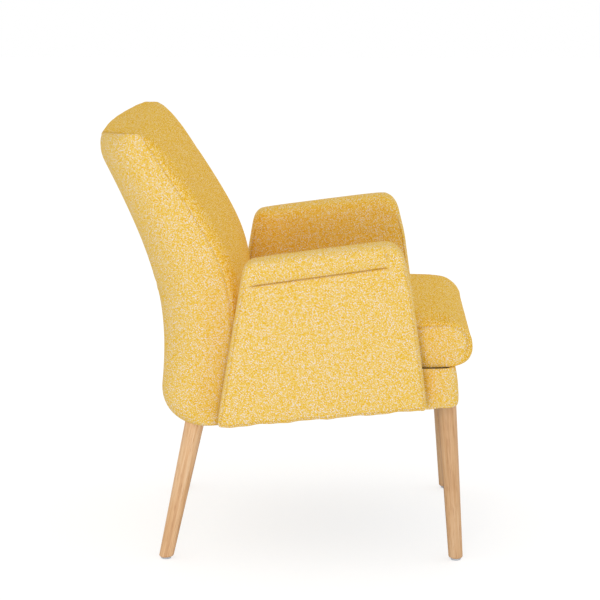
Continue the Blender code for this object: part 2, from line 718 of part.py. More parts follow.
def pad_section(x, rebated):
    """Side outline of the padded front at a distance from the middle: up its face, over the top and down."""
    levels = pad_levels()
    aside = abs(x) - (BACK_HALF - BACK_TOP_EDGE)
    top = BACK_TOP - rounding(BACK_TOP_EDGE, aside) + TOP_CROWN * (1 - (x / BACK_HALF) ** 2)
    lift = (top - BACK_CAP) / TOP_PAD
    outline = [on_level(level, pad_front_point(level, x)) for level in levels]
    caps = [BACK_CAP + TOP_PAD * share for share in CAP_LEVELS]
    outline += [(pad_front_point(level, x), BACK_CAP + lift * (level - BACK_CAP)) for level in caps]
    turn = corner_drop(x, BACK_CAP)
    rear = [(rear_line(level) - turn, BACK_CAP + lift * (level - BACK_CAP)) for level in reversed(caps)]
    start = outline[-1][0]
    end = rear[0][0]
    outline += [(start + (end - start) * share, top) for share in TOP_POINTS]
    outline += rear
    depth = PAD_REBATE if rebated else -FIT / 2
    outline.append((rear_line(BACK_CAP) - turn, BACK_CAP + FIT))
    outline.append((seam_line(BACK_CAP) + depth, BACK_CAP + FIT))
    outline += [on_level(level, seam_line(level) + depth) for level in reversed(levels[:-1])]
    return [(x, y, z) for y, z in outline]


def make_back(finishes, chair):
    """The wrap round the sides and rear, and the padded front that goes over the top."""
    fabric = finishes["fabric"]
    loft("back_shell", [shell_section(level) for level in shell_levels()], fabric, chair)
    stations = [(BACK_HALF * share, True) for share in FACE_STATIONS]
    stations += [(BACK_HALF - BACK_EDGE * share, True) for share in EDGE_STATIONS]
    stations += [(BOARD_OUTER - REBATE_SLOPE, True), (BOARD_OUTER, False)]
    stations += [(BACK_HALF - BACK_EDGE * share, False) for share in RIM_STATIONS]
    right = [(-x, rebated) for x, rebated in reversed(stations[1:])]
    loft("back_pad", [pad_section(x, rebated) for x, rebated in right + stations], fabric, chair)


def arm_corners(bottom_insets, top_drop):
    """Corners of the arm's side outline, drawn in at the front, rear and bottom, and lowered at the top."""
    front, rear, bottom = bottom_insets
    front_lean = ARM_FRONT_RAKE / ARM_FRONT_HEIGHT
    rear_lean = ARM_REAR_RAKE / ARM_REAR_HEIGHT
    slope = (ARM_FRONT_HEIGHT - ARM_REAR_HEIGHT) / (ARM_LENGTH - ARM_FRONT_RAKE - ARM_REAR_RAKE)
    front_foot = ARM_SETBACK + front * math.hypot(1, front_lean)
    rear_foot = ARM_SETBACK + ARM_LENGTH - rear * math.hypot(1, rear_lean)
    top_start = ARM_SETBACK + ARM_FRONT_RAKE
    top_height = ARM_FRONT_HEIGHT - top_drop * math.hypot(1, slope)
    front_rise = (top_height + slope * (top_start - front_foot)) / (1 + slope * front_lean)
    rear_rise = (top_height + slope * (top_start - rear_foot)) / (1 - slope * rear_lean)
    rises = ((front_foot, front_lean, bottom), (rear_foot, -rear_lean, bottom))
    rises += ((rear_foot, -rear_lean, rear_rise), (front_foot, front_lean, front_rise))
    return [(foot + lean * rise, ARM_RISE + rise) for foot, lean, rise in rises]


def rounded_outline(corners, radii):
    """A polygon with each corner turned into an arc of its own radius."""
    outline = []
    for i, corner in enumerate(corners):
        here = Vector(corner)
        before = (Vector(corners[i - 1]) - here).normalized()
        after = (Vector(corners[(i + 1) % len(corners)]) - here).normalized()
        half = before.angle(after) / 2
        centre = here + (before + after).normalized() * radii[i] / math.sin(half)
        start = here + before * radii[i] / math.tan(half) - centre
        end = here + after * radii[i] / math.tan(half) - centre
        sweep = start.angle_signed(end)
        for k in range(CORNER_SEGMENTS + 1):
            turn = Matrix.Rotation(-sweep * k / CORNER_SEGMENTS, 2)
            outline.append(tuple(centre + turn @ start))
    return outline


def arm_outline(inset, top_drop, radii):
    """Rounded side outline of the arm, or of a part of it, drawn in all round."""
    corners = arm_corners((inset, inset, inset), top_drop + inset)
    return rounded_outline(corners, [max(radius - inset, FIT) for radius in radii])


def arm_layer(name, sign, x_flat, x_round, outline_at, material, parent):
    """A padded layer of an arm: flat on one face, its other face rounded at the edges."""
    thickness = abs(x_round - x_flat)
    edge = min(ARM_EDGE, EDGE_SHARE * thickness)
    direction = math.copysign(1, x_round - x_flat)
    stations = [(x_flat, 0.0)]
    for k in range(EDGE_SEGMENTS + 1):
        turn = math.pi / 2 * k / EDGE_SEGMENTS
        stations.append((x_round - direction * edge * (1 - math.sin(turn)), edge * (1 - math.cos(turn))))
    rings = [[(sign * x, y, z) for y, z in outline_at(inset)] for x, inset in stations]
    return loft(name, rings, material, parent)


def make_arm(side, sign, finishes, seat):
    """One arm: inner pad, board, edge band, outer pad and top roll; returns what its bolts pass through."""
    fabric = finishes["fabric"]
    inner = ARM_INNER
    board_start = inner + ARM_INNER_PAD + FIT
    board_end = board_start + ARM_BOARD
    outer_start = board_end + FIT
    whole = (ARM_FOOT_CORNER, ARM_FOOT_CORNER, ARM_REAR_CORNER, ARM_FRONT_CORNER)
    square = (ARM_FOOT_CORNER, ARM_FOOT_CORNER, FIT, FIT)
    inner_pad = arm_layer(
        "arm_inner_pad_" + side,
        sign,
        inner + ARM_INNER_PAD,
        inner,
        lambda inset: arm_outline(inset, 0.0, whole),
        fabric,
        seat,
    )
    arm_layer(
        "arm_outer_pad_" + side,
        sign,
        outer_start,
        ARM_OUTER,
        lambda inset: arm_outline(inset, ARM_ROLL + FIT, square),
        fabric,
        seat,
    )
    arm_layer(
        "arm_top_roll_" + side,
        sign,
        board_start,
        ARM_OUTER,
        arm_roll_outline,
        fabric,
        seat,
    )
    drop = ARM_ROLL + FIT
    board_outline = arm_corners((ARM_BAND + FIT, ARM_BAND + FIT, ARM_BAND + FIT), drop)
    edges = (sign * board_start, sign * board_end)
    board = extrude_aside("arm_board_" + side, board_outline, *edges, finishes["wood"], seat)
    outside = arm_corners((0.0, 0.0, 0.0), drop)
    inside = arm_corners((ARM_BAND, ARM_BAND, ARM_BAND), drop)
    band = [outside[i] for i in (3, 0, 1, 2)] + [inside[i] for i in (2, 1, 0, 3)]
    extrude_aside("arm_edge_band_" + side, band, *edges, fabric, seat)
    return inner_pad, board


def arm_roll_outline(inset):
    """Rounded outline of the top roll: the arm's outline above the tuck."""
    tops = arm_corners((inset, inset, inset), inset)
    tucks = arm_corners((inset, inset, inset), ARM_ROLL - inset)
    corners = [tucks[3], tucks[2], tops[2], tops[3]]
    radii = (FIT, FIT, ARM_REAR_CORNER, ARM_FRONT_CORNER)
    return rounded_outline(corners, [max(radius - inset, FIT) for radius in radii])


def make_arm_bolts(side, sign, pieces, finishes, seat):
    """Bolts from inside the seat frame into the arm board, and their holes."""
    start = BOARD_INNER - FIT
    end = ARM_INNER + ARM_INNER_PAD + FIT + ARM_BOLT_BITE
    bolt = BOLT_DIAMETER / 2
    head = BOLT_HEAD_DIAMETER / 2
    profile = ((head, start - BOLT_HEAD_HEIGHT), (head, start), (bolt, start), (bolt, end))
    board_end = ARM_INNER + ARM_INNER_PAD + ARM_BOARD + 2 * FIT
    hole = ((bolt + FIT, start - BOLT_HEAD_HEIGHT), (bolt + FIT, board_end))
    for name, inset in zip(("front", "rear"), ARM_BOLT_INSETS):
        place = (0, ARM_SETBACK + inset, ARM_BOLT_HEIGHT)
        fastener = turned(f"arm_bolt_{name}_{side}", profile, BOLT_SEGMENTS, finishes["steel"], seat)
        cutter = helper(turned(f"arm_hole_{name}_{side}", hole, BOLT_SEGMENTS, None, seat))
        for obj in (fastener, cutter):
            obj.location = place
            obj.rotation_euler.y = sign * math.pi / 2
        for piece in pieces:
            cut(piece, cutter)


def cushion_ring(turn, shrink):
    """Plan of the cushion where its edge has turned this far, from its underside to its top."""
    swell = math.cos(turn)
    height = CUSHION_HEIGHT / 2 - shrink
    z = DECK_TOP + FIT + CUSHION_HEIGHT / 2 + height * math.sin(turn)
    fullness = NOSE_UPPER if turn > 0 else NOSE_LOWER
    bulge = max(1 - abs(math.sin(turn)) ** fullness, 0.0) ** (1 / fullness)
    front = shrink - CUSHION_NOSE * bulge
    rear = cushion_rear() - shrink + CUSHION_SWELL * swell
    half = ARM_INNER - CUSHION_SIDE_GAP - shrink - CUSHION_SWELL * (1 - swell)
    return [(x, y, z) for x, y in cushion_plan(front, rear, half)]


def cushion_plan(front, rear, half):
    """A rectangle with rounded corners, its sides pulled in between them."""
    middle = (front + rear) / 2
    reach = (rear - front) / 2
    points = []
    for sign_x, sign_y, first in ((1, -1, -90), (1, 1, 0), (-1, 1, 90), (-1, -1, 180)):
        for k in range(CORNER_SEGMENTS + 1):
            turn = math.radians(first + 90 * k / CORNER_SEGMENTS)
            x = sign_x * (half - CUSHION_CORNER) + CUSHION_CORNER * math.cos(turn)
            y = middle + sign_y * (reach - CUSHION_CORNER) + CUSHION_CORNER * math.sin(turn)
            points.append((x, y))
        if sign_x == sign_y:
            continue
        for share in SIDE_POINTS:
            points.append((sign_x * half, middle - sign_x * share * reach))
    return [(x * (1 - CUSHION_DRAW / half * (1 - ((y - middle) / reach) ** 2)), y) for x, y in points]


def cushion_rings(shrink):
    """Rings of the cushion's outline, underside to top, then up its crown."""
    turns = [math.pi * (i / CUSHION_STEPS - 0.5) for i in range(CUSHION_STEPS + 1)]
    rings = [cushion_ring(turn, shrink) for turn in turns]
    edge = rings[-1]
    middle = sum((Vector(point) for point in edge), Vector()) / len(edge)
    for share in CROWN_RINGS:
        lift = Vector((0, 0, CUSHION_CROWN * (1 - share**CROWN_FLATNESS)))
        rings.append([tuple(middle + (Vector(point) - middle) * share + lift) for point in edge])
    return rings


def make_cushion(finishes, parent):
    """The loose cushion: a cover open at the bottom, its foam core and a non-slip underside."""
    base = DECK_TOP + FIT
    outer = cushion_rings(0.0)
    inner = cushion_rings(CUSHION_COVER)
    rim = [(x, y, base) for x, y, _ in inner[0]]
    loft("seat_cushion_cover", outer[::-1] + [rim] + inner, finishes["fabric"], parent)
    core_shrink = CUSHION_COVER + FIT
    core = cushion_rings(core_shrink)
    loft("seat_cushion_core", core, finishes["foam"], parent)
    plate = [[(x, y, z) for x, y, _ in core[0]] for z in (base, base + CUSHION_COVER)]
    loft("seat_cushion_underside", plate, finishes["lining"], parent)


def chair_middle():
    """Half way between the cushion's nose and the rearmost point of the back."""
    nose = seat_point(0, -CUSHION_NOSE, DECK_TOP + FIT + CUSHION_HEIGHT / 2).y
    rear = max(rear_line(level) for level in shell_levels())
    return (nose + rear) / 2


def main():
    """Build the whole chair."""
    clear_scene()
    finishes = make_finishes()
    chair = add_empty("chair", location=(0, -chair_middle(), 0))
    seat = add_empty("seat_plane", chair, (0, 0, UNDERSIDE_HEIGHT), -SEAT_TILT)
    bores = make_legs(finishes, chair, seat)
    boards = make_frame(finishes, chair, seat)
    make_straps(finishes, chair, seat)
    strips = make_seat_cover(finishes, seat, bores)
    make_back(finishes, chair)
    for side, sign in (("right", -1), ("left", 1)):
        pieces = make_arm(side, sign, finishes, seat)
        make_arm_bolts(side, sign, (boards[side], strips[side], *pieces), finishes, seat)
    cushion_slide = add_empty("cushion_slide", seat)
    make_cushion(finishes, cushion_slide)


main()
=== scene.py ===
# %% [markdown]
# # Dressing a low-back armchair
#
# The chair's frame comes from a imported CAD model: boards, rails, straps, bolts, legs and plain solids where the
# padding sits. This lesson keeps the hard pieces and puts real upholstery over the soft ones, one cover at a time:
# the back, the two arms, the loose cushion, the seat border, the deck and the lining. Every cover is a formula on
# a grid, worked out with numpy, and the soft ones are then blown up a little by Blender's cloth solver.

# %% Load the frame
import math

import bmesh
import bpy
import numpy as np
from mathutils import Matrix, Vector


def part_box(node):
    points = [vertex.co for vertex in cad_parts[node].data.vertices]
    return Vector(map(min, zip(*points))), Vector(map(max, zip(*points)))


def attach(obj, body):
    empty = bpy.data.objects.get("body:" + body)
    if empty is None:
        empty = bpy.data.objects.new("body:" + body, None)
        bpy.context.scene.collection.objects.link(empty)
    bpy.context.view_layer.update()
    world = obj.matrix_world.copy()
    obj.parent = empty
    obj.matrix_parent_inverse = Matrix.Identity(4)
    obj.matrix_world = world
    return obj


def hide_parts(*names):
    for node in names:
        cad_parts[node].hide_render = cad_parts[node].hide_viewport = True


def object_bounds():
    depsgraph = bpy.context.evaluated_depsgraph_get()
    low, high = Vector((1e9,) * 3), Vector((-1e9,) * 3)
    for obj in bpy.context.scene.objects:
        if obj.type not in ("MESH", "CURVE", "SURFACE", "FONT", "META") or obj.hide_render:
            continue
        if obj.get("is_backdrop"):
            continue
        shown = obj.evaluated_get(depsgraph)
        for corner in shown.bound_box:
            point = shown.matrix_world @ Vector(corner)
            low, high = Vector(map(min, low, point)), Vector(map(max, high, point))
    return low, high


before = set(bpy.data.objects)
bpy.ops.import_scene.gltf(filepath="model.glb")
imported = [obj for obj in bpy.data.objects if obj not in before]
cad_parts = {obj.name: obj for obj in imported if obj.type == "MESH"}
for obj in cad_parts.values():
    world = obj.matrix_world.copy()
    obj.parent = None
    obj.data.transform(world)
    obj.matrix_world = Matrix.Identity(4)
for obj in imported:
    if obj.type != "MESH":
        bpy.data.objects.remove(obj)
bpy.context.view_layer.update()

# %% [markdown]
# ## The chair's own axes
#
# The seat is tilted back by a few degrees, and most of the chair is drawn square to it. So a point is given either
# in the chair's axes, which start at the seat's front edge on the floor, or in the seat's axes, which start at the
# front edge of the seat's underside and lean with it. Two small functions turn either into the model's frame.

# %% From the chair's axes to the frame
TILT = math.radians(5.4)
UNDERSIDE = 0.308  # floor to the underside of the seat, at its front edge
MIDDLE = 0.33663  # front edge of the seat to the middle of the chair's outline


def chair_points(x, y, z):
    """Points of the chair's axes in the model's frame: y counts from the middle of the outline."""
    x, y, z = np.broadcast_arrays(x, y, z)
    return np.stack([x, y - MIDDLE, z], axis=-1)


def seat_points(x, y, z):
    """Points of the seat's axes in the model's frame: y and z turn by the tilt, then z rises by the underside."""
    across = y * math.cos(TILT) + z * math.sin(TILT)
    height = UNDERSIDE - y * math.sin(TILT) + z * math.cos(TILT)
    return chair_points(x, across, height)


print("seat's front edge in the frame", seat_points(0.0, 0.0, 0.0).round(4))

# %% [markdown]
# ## From a grid of points to a piece
#
# A cover is sewn from patches, and each patch is a grid of points. Neighbours on the grid make the faces. Where two
# patches meet, their edge points are the same, so merging doubles closes the seam. Each point can carry numbers, too.
# One number is painted shade: it is highest in the bottom of stitched grooves, creases and folds and in the gap
# beside an arm, where it darkens the cloth's colour. Another is painted shade too: it turns the cloth a deeper golden
# inside the chair and on its tops, in place of the dimmer light there, much of it bounced off the yellow cloth. One
# called pin holds a point still when the cover is blown up.

# %% Grids and their faces


def grid_faces(index):
    """Four corners of every cell in a table of point numbers."""
    corners = (index[:-1, :-1], index[1:, :-1], index[1:, 1:], index[:-1, 1:])
    return np.stack(corners, axis=-1).reshape(-1, 4)


def close_ring(grid):
    """The grid with its first column once more at the end, so that it closes round."""
    return np.concatenate([grid, grid[:, :1]], axis=1)


print("a grid of 3 by 4 points has", len(grid_faces(np.arange(12).reshape(3, 4))), "faces")

# %% Sewing patches into a piece
MERGE = 2e-5  # points closer than this become one


def sew(name, patches, material, **numbers):
    """A mesh piece from grids of points; numbers holds, by name, one grid or one value for each patch."""
    points = np.concatenate([patch.reshape(-1, 3) for patch in patches])
    sizes = [patch.shape[0] * patch.shape[1] for patch in patches]
    starts = np.cumsum([0] + sizes)
    tables = [start + np.arange(n).reshape(p.shape[:2]) for start, n, p in zip(starts, sizes, patches)]
    faces = np.concatenate([grid_faces(table) for table in tables])
    mesh = bpy.data.meshes.new(name)
    mesh.vertices.add(len(points))
    mesh.vertices.foreach_set("co", points.astype(np.float32).ravel())
    mesh.loops.add(faces.size)
    mesh.loops.foreach_set("vertex_index", faces.astype(np.int32).ravel())
    mesh.polygons.add(len(faces))
    mesh.polygons.foreach_set("loop_start", np.arange(0, faces.size, 4, dtype=np.int32))
    mesh.update(calc_edges=True)
    for label, grids in numbers.items():
        values = np.concatenate([np.broadcast_to(g, p.shape[:2]).ravel() for g, p in zip(grids, patches)])
        mesh.attributes.new(label, "FLOAT", "POINT").data.foreach_set("value", values.astype(np.float32))
    built = bmesh.new()
    built.from_mesh(mesh)
    bmesh.ops.remove_doubles(built, verts=built.verts, dist=MERGE)
    bmesh.ops.recalc_face_normals(built, faces=built.faces)
    built.to_mesh(mesh)
    open_edges = sum(edge.is_boundary for edge in built.edges)
    built.free()
    mesh.shade_smooth()
    mesh.materials.append(material)
    piece = bpy.data.objects.new(name, mesh)
    bpy.context.scene.collection.objects.link(piece)
    print(f"{name}: {len(mesh.polygons)} faces, {open_edges} open edges")
    return piece


def wear(piece, body, slot, *nodes):
    """The piece rides on a body and stands for these solids, which it hides; slot is not used."""
    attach(piece, body)
    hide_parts(*nodes)


# %% [markdown]
# ## Small shaping functions
#
# Three shapes come back on every cover: a rounded edge, a stitched groove, and a soft step from 0 to 1. They work on
# whole arrays. A list of spans sets how closely the grid lines stand: close where a seam runs, wide on a plain face.

# %% Rounding, groove, step and spacing


def rounding(reach):
    """How far a quarter circle of radius 1 has dropped at this reach: 1 minus the root of 1 minus reach squared."""
    return 1 - np.sqrt(1 - np.clip(reach, 0, 1) ** 2)


def groove(distance, width):
    """A bell curve, 1 on the line and falling off over the width on either side."""
    return np.exp(-((distance / width) ** 2))


def soft_step(value, start, end):
    """0 before start, 1 after end, and three t squared minus two t cubed between them."""
    t = np.clip((value - start) / (end - start), 0, 1)
    return t * t * (3 - 2 * t)


def spaced(*spans):
    """Grid lines along a way: each span is (end, step), and starts where the one before it ended."""
    lines = [np.zeros(1)]
    for end, step in spans:
        start = lines[-1][-1]
        count = max(int(round((end - start) / step)), 1)
        lines.append(np.linspace(start, end, count + 1)[1:])
    return np.concatenate(lines)


print("a span of 10 mm in 2 mm steps", spaced((0.010, 0.002)))

# %% [markdown]
# ## The yellow cloth
#
# The real cover is a heathered cloth: a yellow ground with small golden and nearly white flecks, about three
# millimetres apart, and a looped surface with hardly any shine. One node group makes it from a position. Two cell
# patterns, each turned its own way, give the pale and the golden flecks, every cell with its own strength, and a slow
# cloud makes some patches paler. A second row of deeper golden colours is painted shade: it takes over inside the
# chair and on its tops, in place of the dimmer light there, much of it bounced off the yellow cloth. Grooves, creases
# and the gap between arm and back get painted shade as a brown tint.

# %% Node helpers


def node(tree, kind, place, **settings):
    """A node of this kind at a place, with its settings."""
    made = tree.nodes.new(kind)
    made.location = place
    for name, value in settings.items():
        setattr(made, name, value)
    return made


def set_inputs(made, **values):
    """Values of a node's inputs by name, with spaces written as underscores."""
    for name, value in values.items():
        made.inputs[name.replace("_", " ")].default_value = value
    return made


def noise(tree, place, source, **values):
    """A noise texture of a source's positions."""
    made = set_inputs(node(tree, "ShaderNodeTexNoise", place), **values)
    tree.links.new(source, made.inputs["Vector"])
    return made


def map_range(tree, place, source, given, wanted, **settings):
    """A node that stretches a source's values from the given range to the wanted one."""
    made = node(tree, "ShaderNodeMapRange", place, **settings)
    set_inputs(made, From_Min=given[0], From_Max=given[1], To_Min=wanted[0], To_Max=wanted[1])
    tree.links.new(source, made.inputs["Value"])
    return made


print("helpers for nodes, noise and ranges are ready")

# %% Colours, materials and bump


def srgb(red, green, blue):
    """Linear colour of a colour given in the usual 0 to 255."""
    share = np.array([red, green, blue]) / 255
    return tuple(np.where(share <= 0.04045, share / 12.92, ((share + 0.055) / 1.055) ** 2.4))


def colour_row(tree, place, source, stops):
    """A ramp from a source's values to colours, with stops given as (value, red, green, blue)."""
    ramp = node(tree, "ShaderNodeValToRGB", place)
    elements = ramp.color_ramp.elements
    while len(elements) < len(stops):
        elements.new(1.0)
    for element, (value, *colour) in zip(elements, stops):
        element.position = value
        element.color = (*colour, 1.0)
    tree.links.new(source, ramp.inputs["Fac"])
    return ramp


def new_material(name):
    """A material, its node tree and its surface."""
    material = bpy.data.materials.new(name)
    material.use_nodes = True
    tree = material.node_tree
    return material, tree, tree.nodes["Principled BSDF"]


def add_bump(tree, place, source, strength, distance):
    """Bump on the tree's surface, from a source of heights."""
    bump = set_inputs(node(tree, "ShaderNodeBump", place), Strength=strength, Distance=distance)
    tree.links.new(source, bump.inputs["Height"])
    tree.links.new(bump.outputs["Normal"], tree.nodes["Principled BSDF"].inputs["Normal"])


print("middle grey in linear light", np.round(srgb(128, 128, 128), 3))

# %% The cloth's colours
FRESH = (
    (0.00, *srgb(236, 178, 2)),
    (0.25, *srgb(238, 190, 46)),
    (0.50, *srgb(241, 204, 106)),
    (0.75, *srgb(243, 220, 178)),
    (1.00, *srgb(240, 232, 238)),
)
# painted shade: deeper golden colours for cloth inside the chair and on its tops, where less light falls
SHADED_TONES = (
    (0.00, *srgb(222, 150, 2)),
    (0.25, *srgb(235, 176, 26)),
    (0.50, *srgb(242, 196, 68)),
    (0.75, *srgb(248, 219, 144)),
    (1.00, *srgb(248, 236, 218)),
)
print("tones:", len(FRESH), "fresh and", len(SHADED_TONES), "rubbed")

# %% Flecks
FLECK = 345.0  # flecks to the metre
SCATTER = 0.80  # 0 would set the flecks in straight rows


def make_flecks(tree, start, turned, place):
    """One set of flecks: cells of a turned space, full in their middles, each with a random strength."""
    link = tree.links.new
    turn = set_inputs(node(tree, "ShaderNodeMapping", (-1150, place)), Rotation=turned)
    cells = set_inputs(node(tree, "ShaderNodeTexVoronoi", (-950, place)), Scale=FLECK, Randomness=SCATTER)
    link(start.outputs["Position"], turn.inputs["Vector"])
    link(turn.outputs["Vector"], cells.inputs["Vector"])
    far = cells.outputs["Distance"]
    dot = map_range(tree, (-750, place), far, (0.15, 0.62), (1.0, 0.0), interpolation_type="SMOOTHSTEP")
    luck = node(tree, "ShaderNodeSeparateColor", (-750, place - 260))
    link(cells.outputs["Color"], luck.inputs[0])
    power = map_range(tree, (-550, place - 260), luck.outputs["Red"], (0.0, 1.0), (0.35, 1.0))
    fleck = node(tree, "ShaderNodeMath", (-350, place), operation="MULTIPLY")
    link(dot.outputs["Result"], fleck.inputs[0])
    link(power.outputs["Result"], fleck.inputs[1])
    return fleck, luck


print("flecks stand", round(1000 / FLECK, 1), "mm apart")

# %% The heathered cloth group
CLOUD = 60.0  # patches of the cloud to the metre
CLOUD_TONES = (0.47, 0.53)
FLECK_TONE = 0.68  # how much a full fleck adds to the tone, or takes from it
# painted shade: the brown that grooves, creases, folds and gaps are multiplied by
SHADE_TINT = (0.46, 0.26, 0.07, 1.0)


def make_cloth_group():
    """Colour, loop height and roughness from a position, and from two numbers that paint shade into the colour.

    The tone is the cloud, about a half, plus FLECK_TONE times a pale fleck, less as much of a golden one. A row of
    colours turns it into the cloth's colour. Both numbers are painted shade: one multiplies grooves, creases and gaps
    by a brown tint, the other lets a deeper golden row of colours take over inside the chair and on its tops.
    """
    tree = bpy.data.node_groups.new("heathered_cloth", "ShaderNodeTree")
    for label, kind in (("Position", "Vector"), ("Seam", "Float"), ("Rubbed", "Float")):
        tree.interface.new_socket(label, in_out="INPUT", socket_type="NodeSocket" + kind)
    for label, kind in (("Color", "Color"), ("Height", "Float"), ("Roughness", "Float")):
        tree.interface.new_socket(label, in_out="OUTPUT", socket_type="NodeSocket" + kind)
    link = tree.links.new
    start = node(tree, "NodeGroupInput", (-1400, 0))
    end = node(tree, "NodeGroupOutput", (1100, 0))
    pale, luck = make_flecks(tree, start, (0.6, 0.2, 0.8), 500)
    golden, _ = make_flecks(tree, start, (0.3, 0.9, 0.4), -100)
    cloud = noise(tree, (-550, -600), start.outputs["Position"], Scale=CLOUD, Detail=3.0, Roughness=0.7)
    drift = map_range(tree, (-350, -600), cloud.outputs[0], (0.3, 0.7), CLOUD_TONES)
    gap = node(tree, "ShaderNodeMath", (-150, 200), operation="SUBTRACT")
    link(pale.outputs[0], gap.inputs[0])
    link(golden.outputs[0], gap.inputs[1])
    tone = node(tree, "ShaderNodeMath", (50, 100), operation="MULTIPLY_ADD")
    tone.inputs[1].default_value = FLECK_TONE
    link(gap.outputs[0], tone.inputs[0])
    link(drift.outputs["Result"], tone.inputs[2])
    # painted shade: the deeper golden row takes over as the second number grows
    shaded_mix = node(tree, "ShaderNodeMix", (550, 150), data_type="RGBA")
    link(start.outputs["Rubbed"], shaded_mix.inputs["Factor"])
    for side, stops, place in (("A", FRESH, 300), ("B", SHADED_TONES, 0)):
        ramp = colour_row(tree, (250, place), tone.outputs[0], stops)
        link(ramp.outputs["Color"], shaded_mix.inputs[side])
    # painted shade: grooves, creases, folds and gaps are multiplied by the brown tint
    dark = node(tree, "ShaderNodeMix", (800, 100), data_type="RGBA", blend_type="MULTIPLY")
    dark.inputs["B"].default_value = SHADE_TINT
    link(start.outputs["Seam"], dark.inputs["Factor"])
    link(shaded_mix.outputs["Result"], dark.inputs["A"])
    link(dark.outputs["Result"], end.inputs["Color"])
    link(tone.outputs[0], end.inputs["Height"])
    rough = map_range(tree, (250, -400), luck.outputs["Blue"], (0.0, 1.0), (0.88, 0.98))
    link(rough.outputs["Result"], end.inputs["Roughness"])
    return tree


cloth_group = make_cloth_group()
print("cloth group:", len(cloth_group.nodes), "nodes")

# %% The cloth's material


def make_cloth(name):
    """The heathered cloth: the group's colour and roughness, and its loops as bump."""
    material, tree, surface = new_material(name)
    link = tree.links.new
    set_inputs(surface, Specular_IOR_Level=0.03)
    place = node(tree, "ShaderNodeTexCoord", (-900, 0))
    cloth = node(tree, "ShaderNodeGroup", (-600, 0), node_tree=cloth_group)
    link(place.outputs["Object"], cloth.inputs["Position"])
    for label, y in (("seam", -250), ("rubbed", -450)):
        number = node(tree, "ShaderNodeAttribute", (-900, y), attribute_name=label)
        link(number.outputs["Fac"], cloth.inputs[label.capitalize()])
    link(cloth.outputs["Color"], surface.inputs["Base Color"])
    link(cloth.outputs["Roughness"], surface.inputs["Roughness"])
    add_bump(tree, (-300, -250), cloth.outputs["Height"], strength=0.35, distance=0.0012)
    return material


cloth = make_cloth("heathered_yellow_cloth")
print("material", cloth.name)

# %% [markdown]
# ## Rounded outlines
#
# The arms, the cushion and the small pads all start from four corners with a rounding at each. The outline is kept as
# four edges, each from the middle of one rounding to the middle of the next, because a patch with four edges can be
# filled smoothly. Every point of an edge also knows which way is inwards, so the outline can be drawn in by any
# amount.

# %% Four rounded edges
ARC_POINTS = 13  # points of each rounding; odd, so that one is in the middle


def rounded_edges(corners, radii):
    """Each edge as (length so far, points, inward directions), from mid-rounding to mid-rounding."""
    corners = np.asarray(corners, float)
    arcs = []
    for i, radius in enumerate(radii):
        before = corners[i - 1] - corners[i]
        after = corners[(i + 1) % 4] - corners[i]
        before = before / np.linalg.norm(before)
        after = after / np.linalg.norm(after)
        half = math.acos(float(before @ after)) / 2
        inward = (before + after) / np.linalg.norm(before + after)
        centre = corners[i] + inward * radius / math.sin(half)
        side = np.array([-inward[1], inward[0]])
        side = side if side @ before > 0 else -side
        turn = np.linspace(1, -1, ARC_POINTS) * (math.pi / 2 - half)
        spokes = -np.cos(turn)[:, None] * inward + np.sin(turn)[:, None] * side
        arcs.append((centre + radius * spokes, -spokes))
    middle = ARC_POINTS // 2
    edges = []
    for i in range(4):
        start, end = arcs[i], arcs[(i + 1) % 4]
        points = np.concatenate([start[0][middle:], end[0][: middle + 1]])
        inwards = np.concatenate([start[1][middle:], end[1][: middle + 1]])
        steps = np.linalg.norm(np.diff(points, axis=0), axis=1)
        edges.append((np.concatenate([[0], np.cumsum(steps)]), points, inwards))
    return edges


sample = rounded_edges(((0, 0), (1, 0), (1, 1), (0, 1)), [0.1] * 4)
print("one edge of a rounded unit square is", round(sample[0][0][-1], 3), "long")

# %% Going round an outline, and filling it


def along(edge, shares):
    """Points and inward directions of an edge at shares of its length."""
    length, points, inwards = edge
    at = shares * length[-1]
    spots = np.stack([np.interp(at, length, points[:, i]) for i in (0, 1)], axis=-1)
    aims = np.stack([np.interp(at, length, inwards[:, i]) for i in (0, 1)], axis=-1)
    return spots, aims / np.linalg.norm(aims, axis=-1, keepdims=True)


def loop(edges, first, second):
    """Once round the outline: edges 0 and 2 at the first shares, 1 and 3 at the second, without repeats."""
    runs = (first, second, 1 - first[::-1], 1 - second[::-1])
    found = [along(edge, run[:-1]) for edge, run in zip(edges, runs)]
    return np.concatenate([f[0] for f in found]), np.concatenate([f[1] for f in found])


def four_sides(ring, columns, rows):
    """The sides of a loop of points, low, right, high and left, each with both its corners."""
    low = ring[:columns]
    right = ring[columns - 1 : columns + rows - 1]
    high = ring[columns + rows - 2 : 2 * columns + rows - 2][::-1]
    left = np.concatenate([ring[2 * columns + rows - 3 :], ring[:1]])[::-1]
    return low, right, high, left


def fill_patch(ring, first, second):
    """Points inside a loop: its sides blended by their shares (a along, b across), less the corners' own blend."""
    low, right, high, left = four_sides(ring, len(first), len(second))
    a = first[None, :, None]
    b = second[:, None, None]
    sides = (1 - b) * low[None] + b * high[None] + (1 - a) * left[:, None] + a * right[:, None]
    corners = (1 - a) * (1 - b) * low[0] + a * (1 - b) * low[-1] + (1 - a) * b * high[0] + a * b * high[-1]
    return sides - corners


print("half way along that edge:", along(sample[0], np.array([0.5]))[0].round(3))

# %% [markdown]
# ## The arms
#
# Each arm is a slab: a board with foam on both faces, under one cover. The cover has an outer and an inner panel, a
# boxing strip round the front, bottom and rear edges, and a top that comes over from the inside and is tucked under
# itself on the outside. So the outer panel gets a raised roll along its top with a crease below it, and both panels
# dip to a stitched line where they meet the boxing.

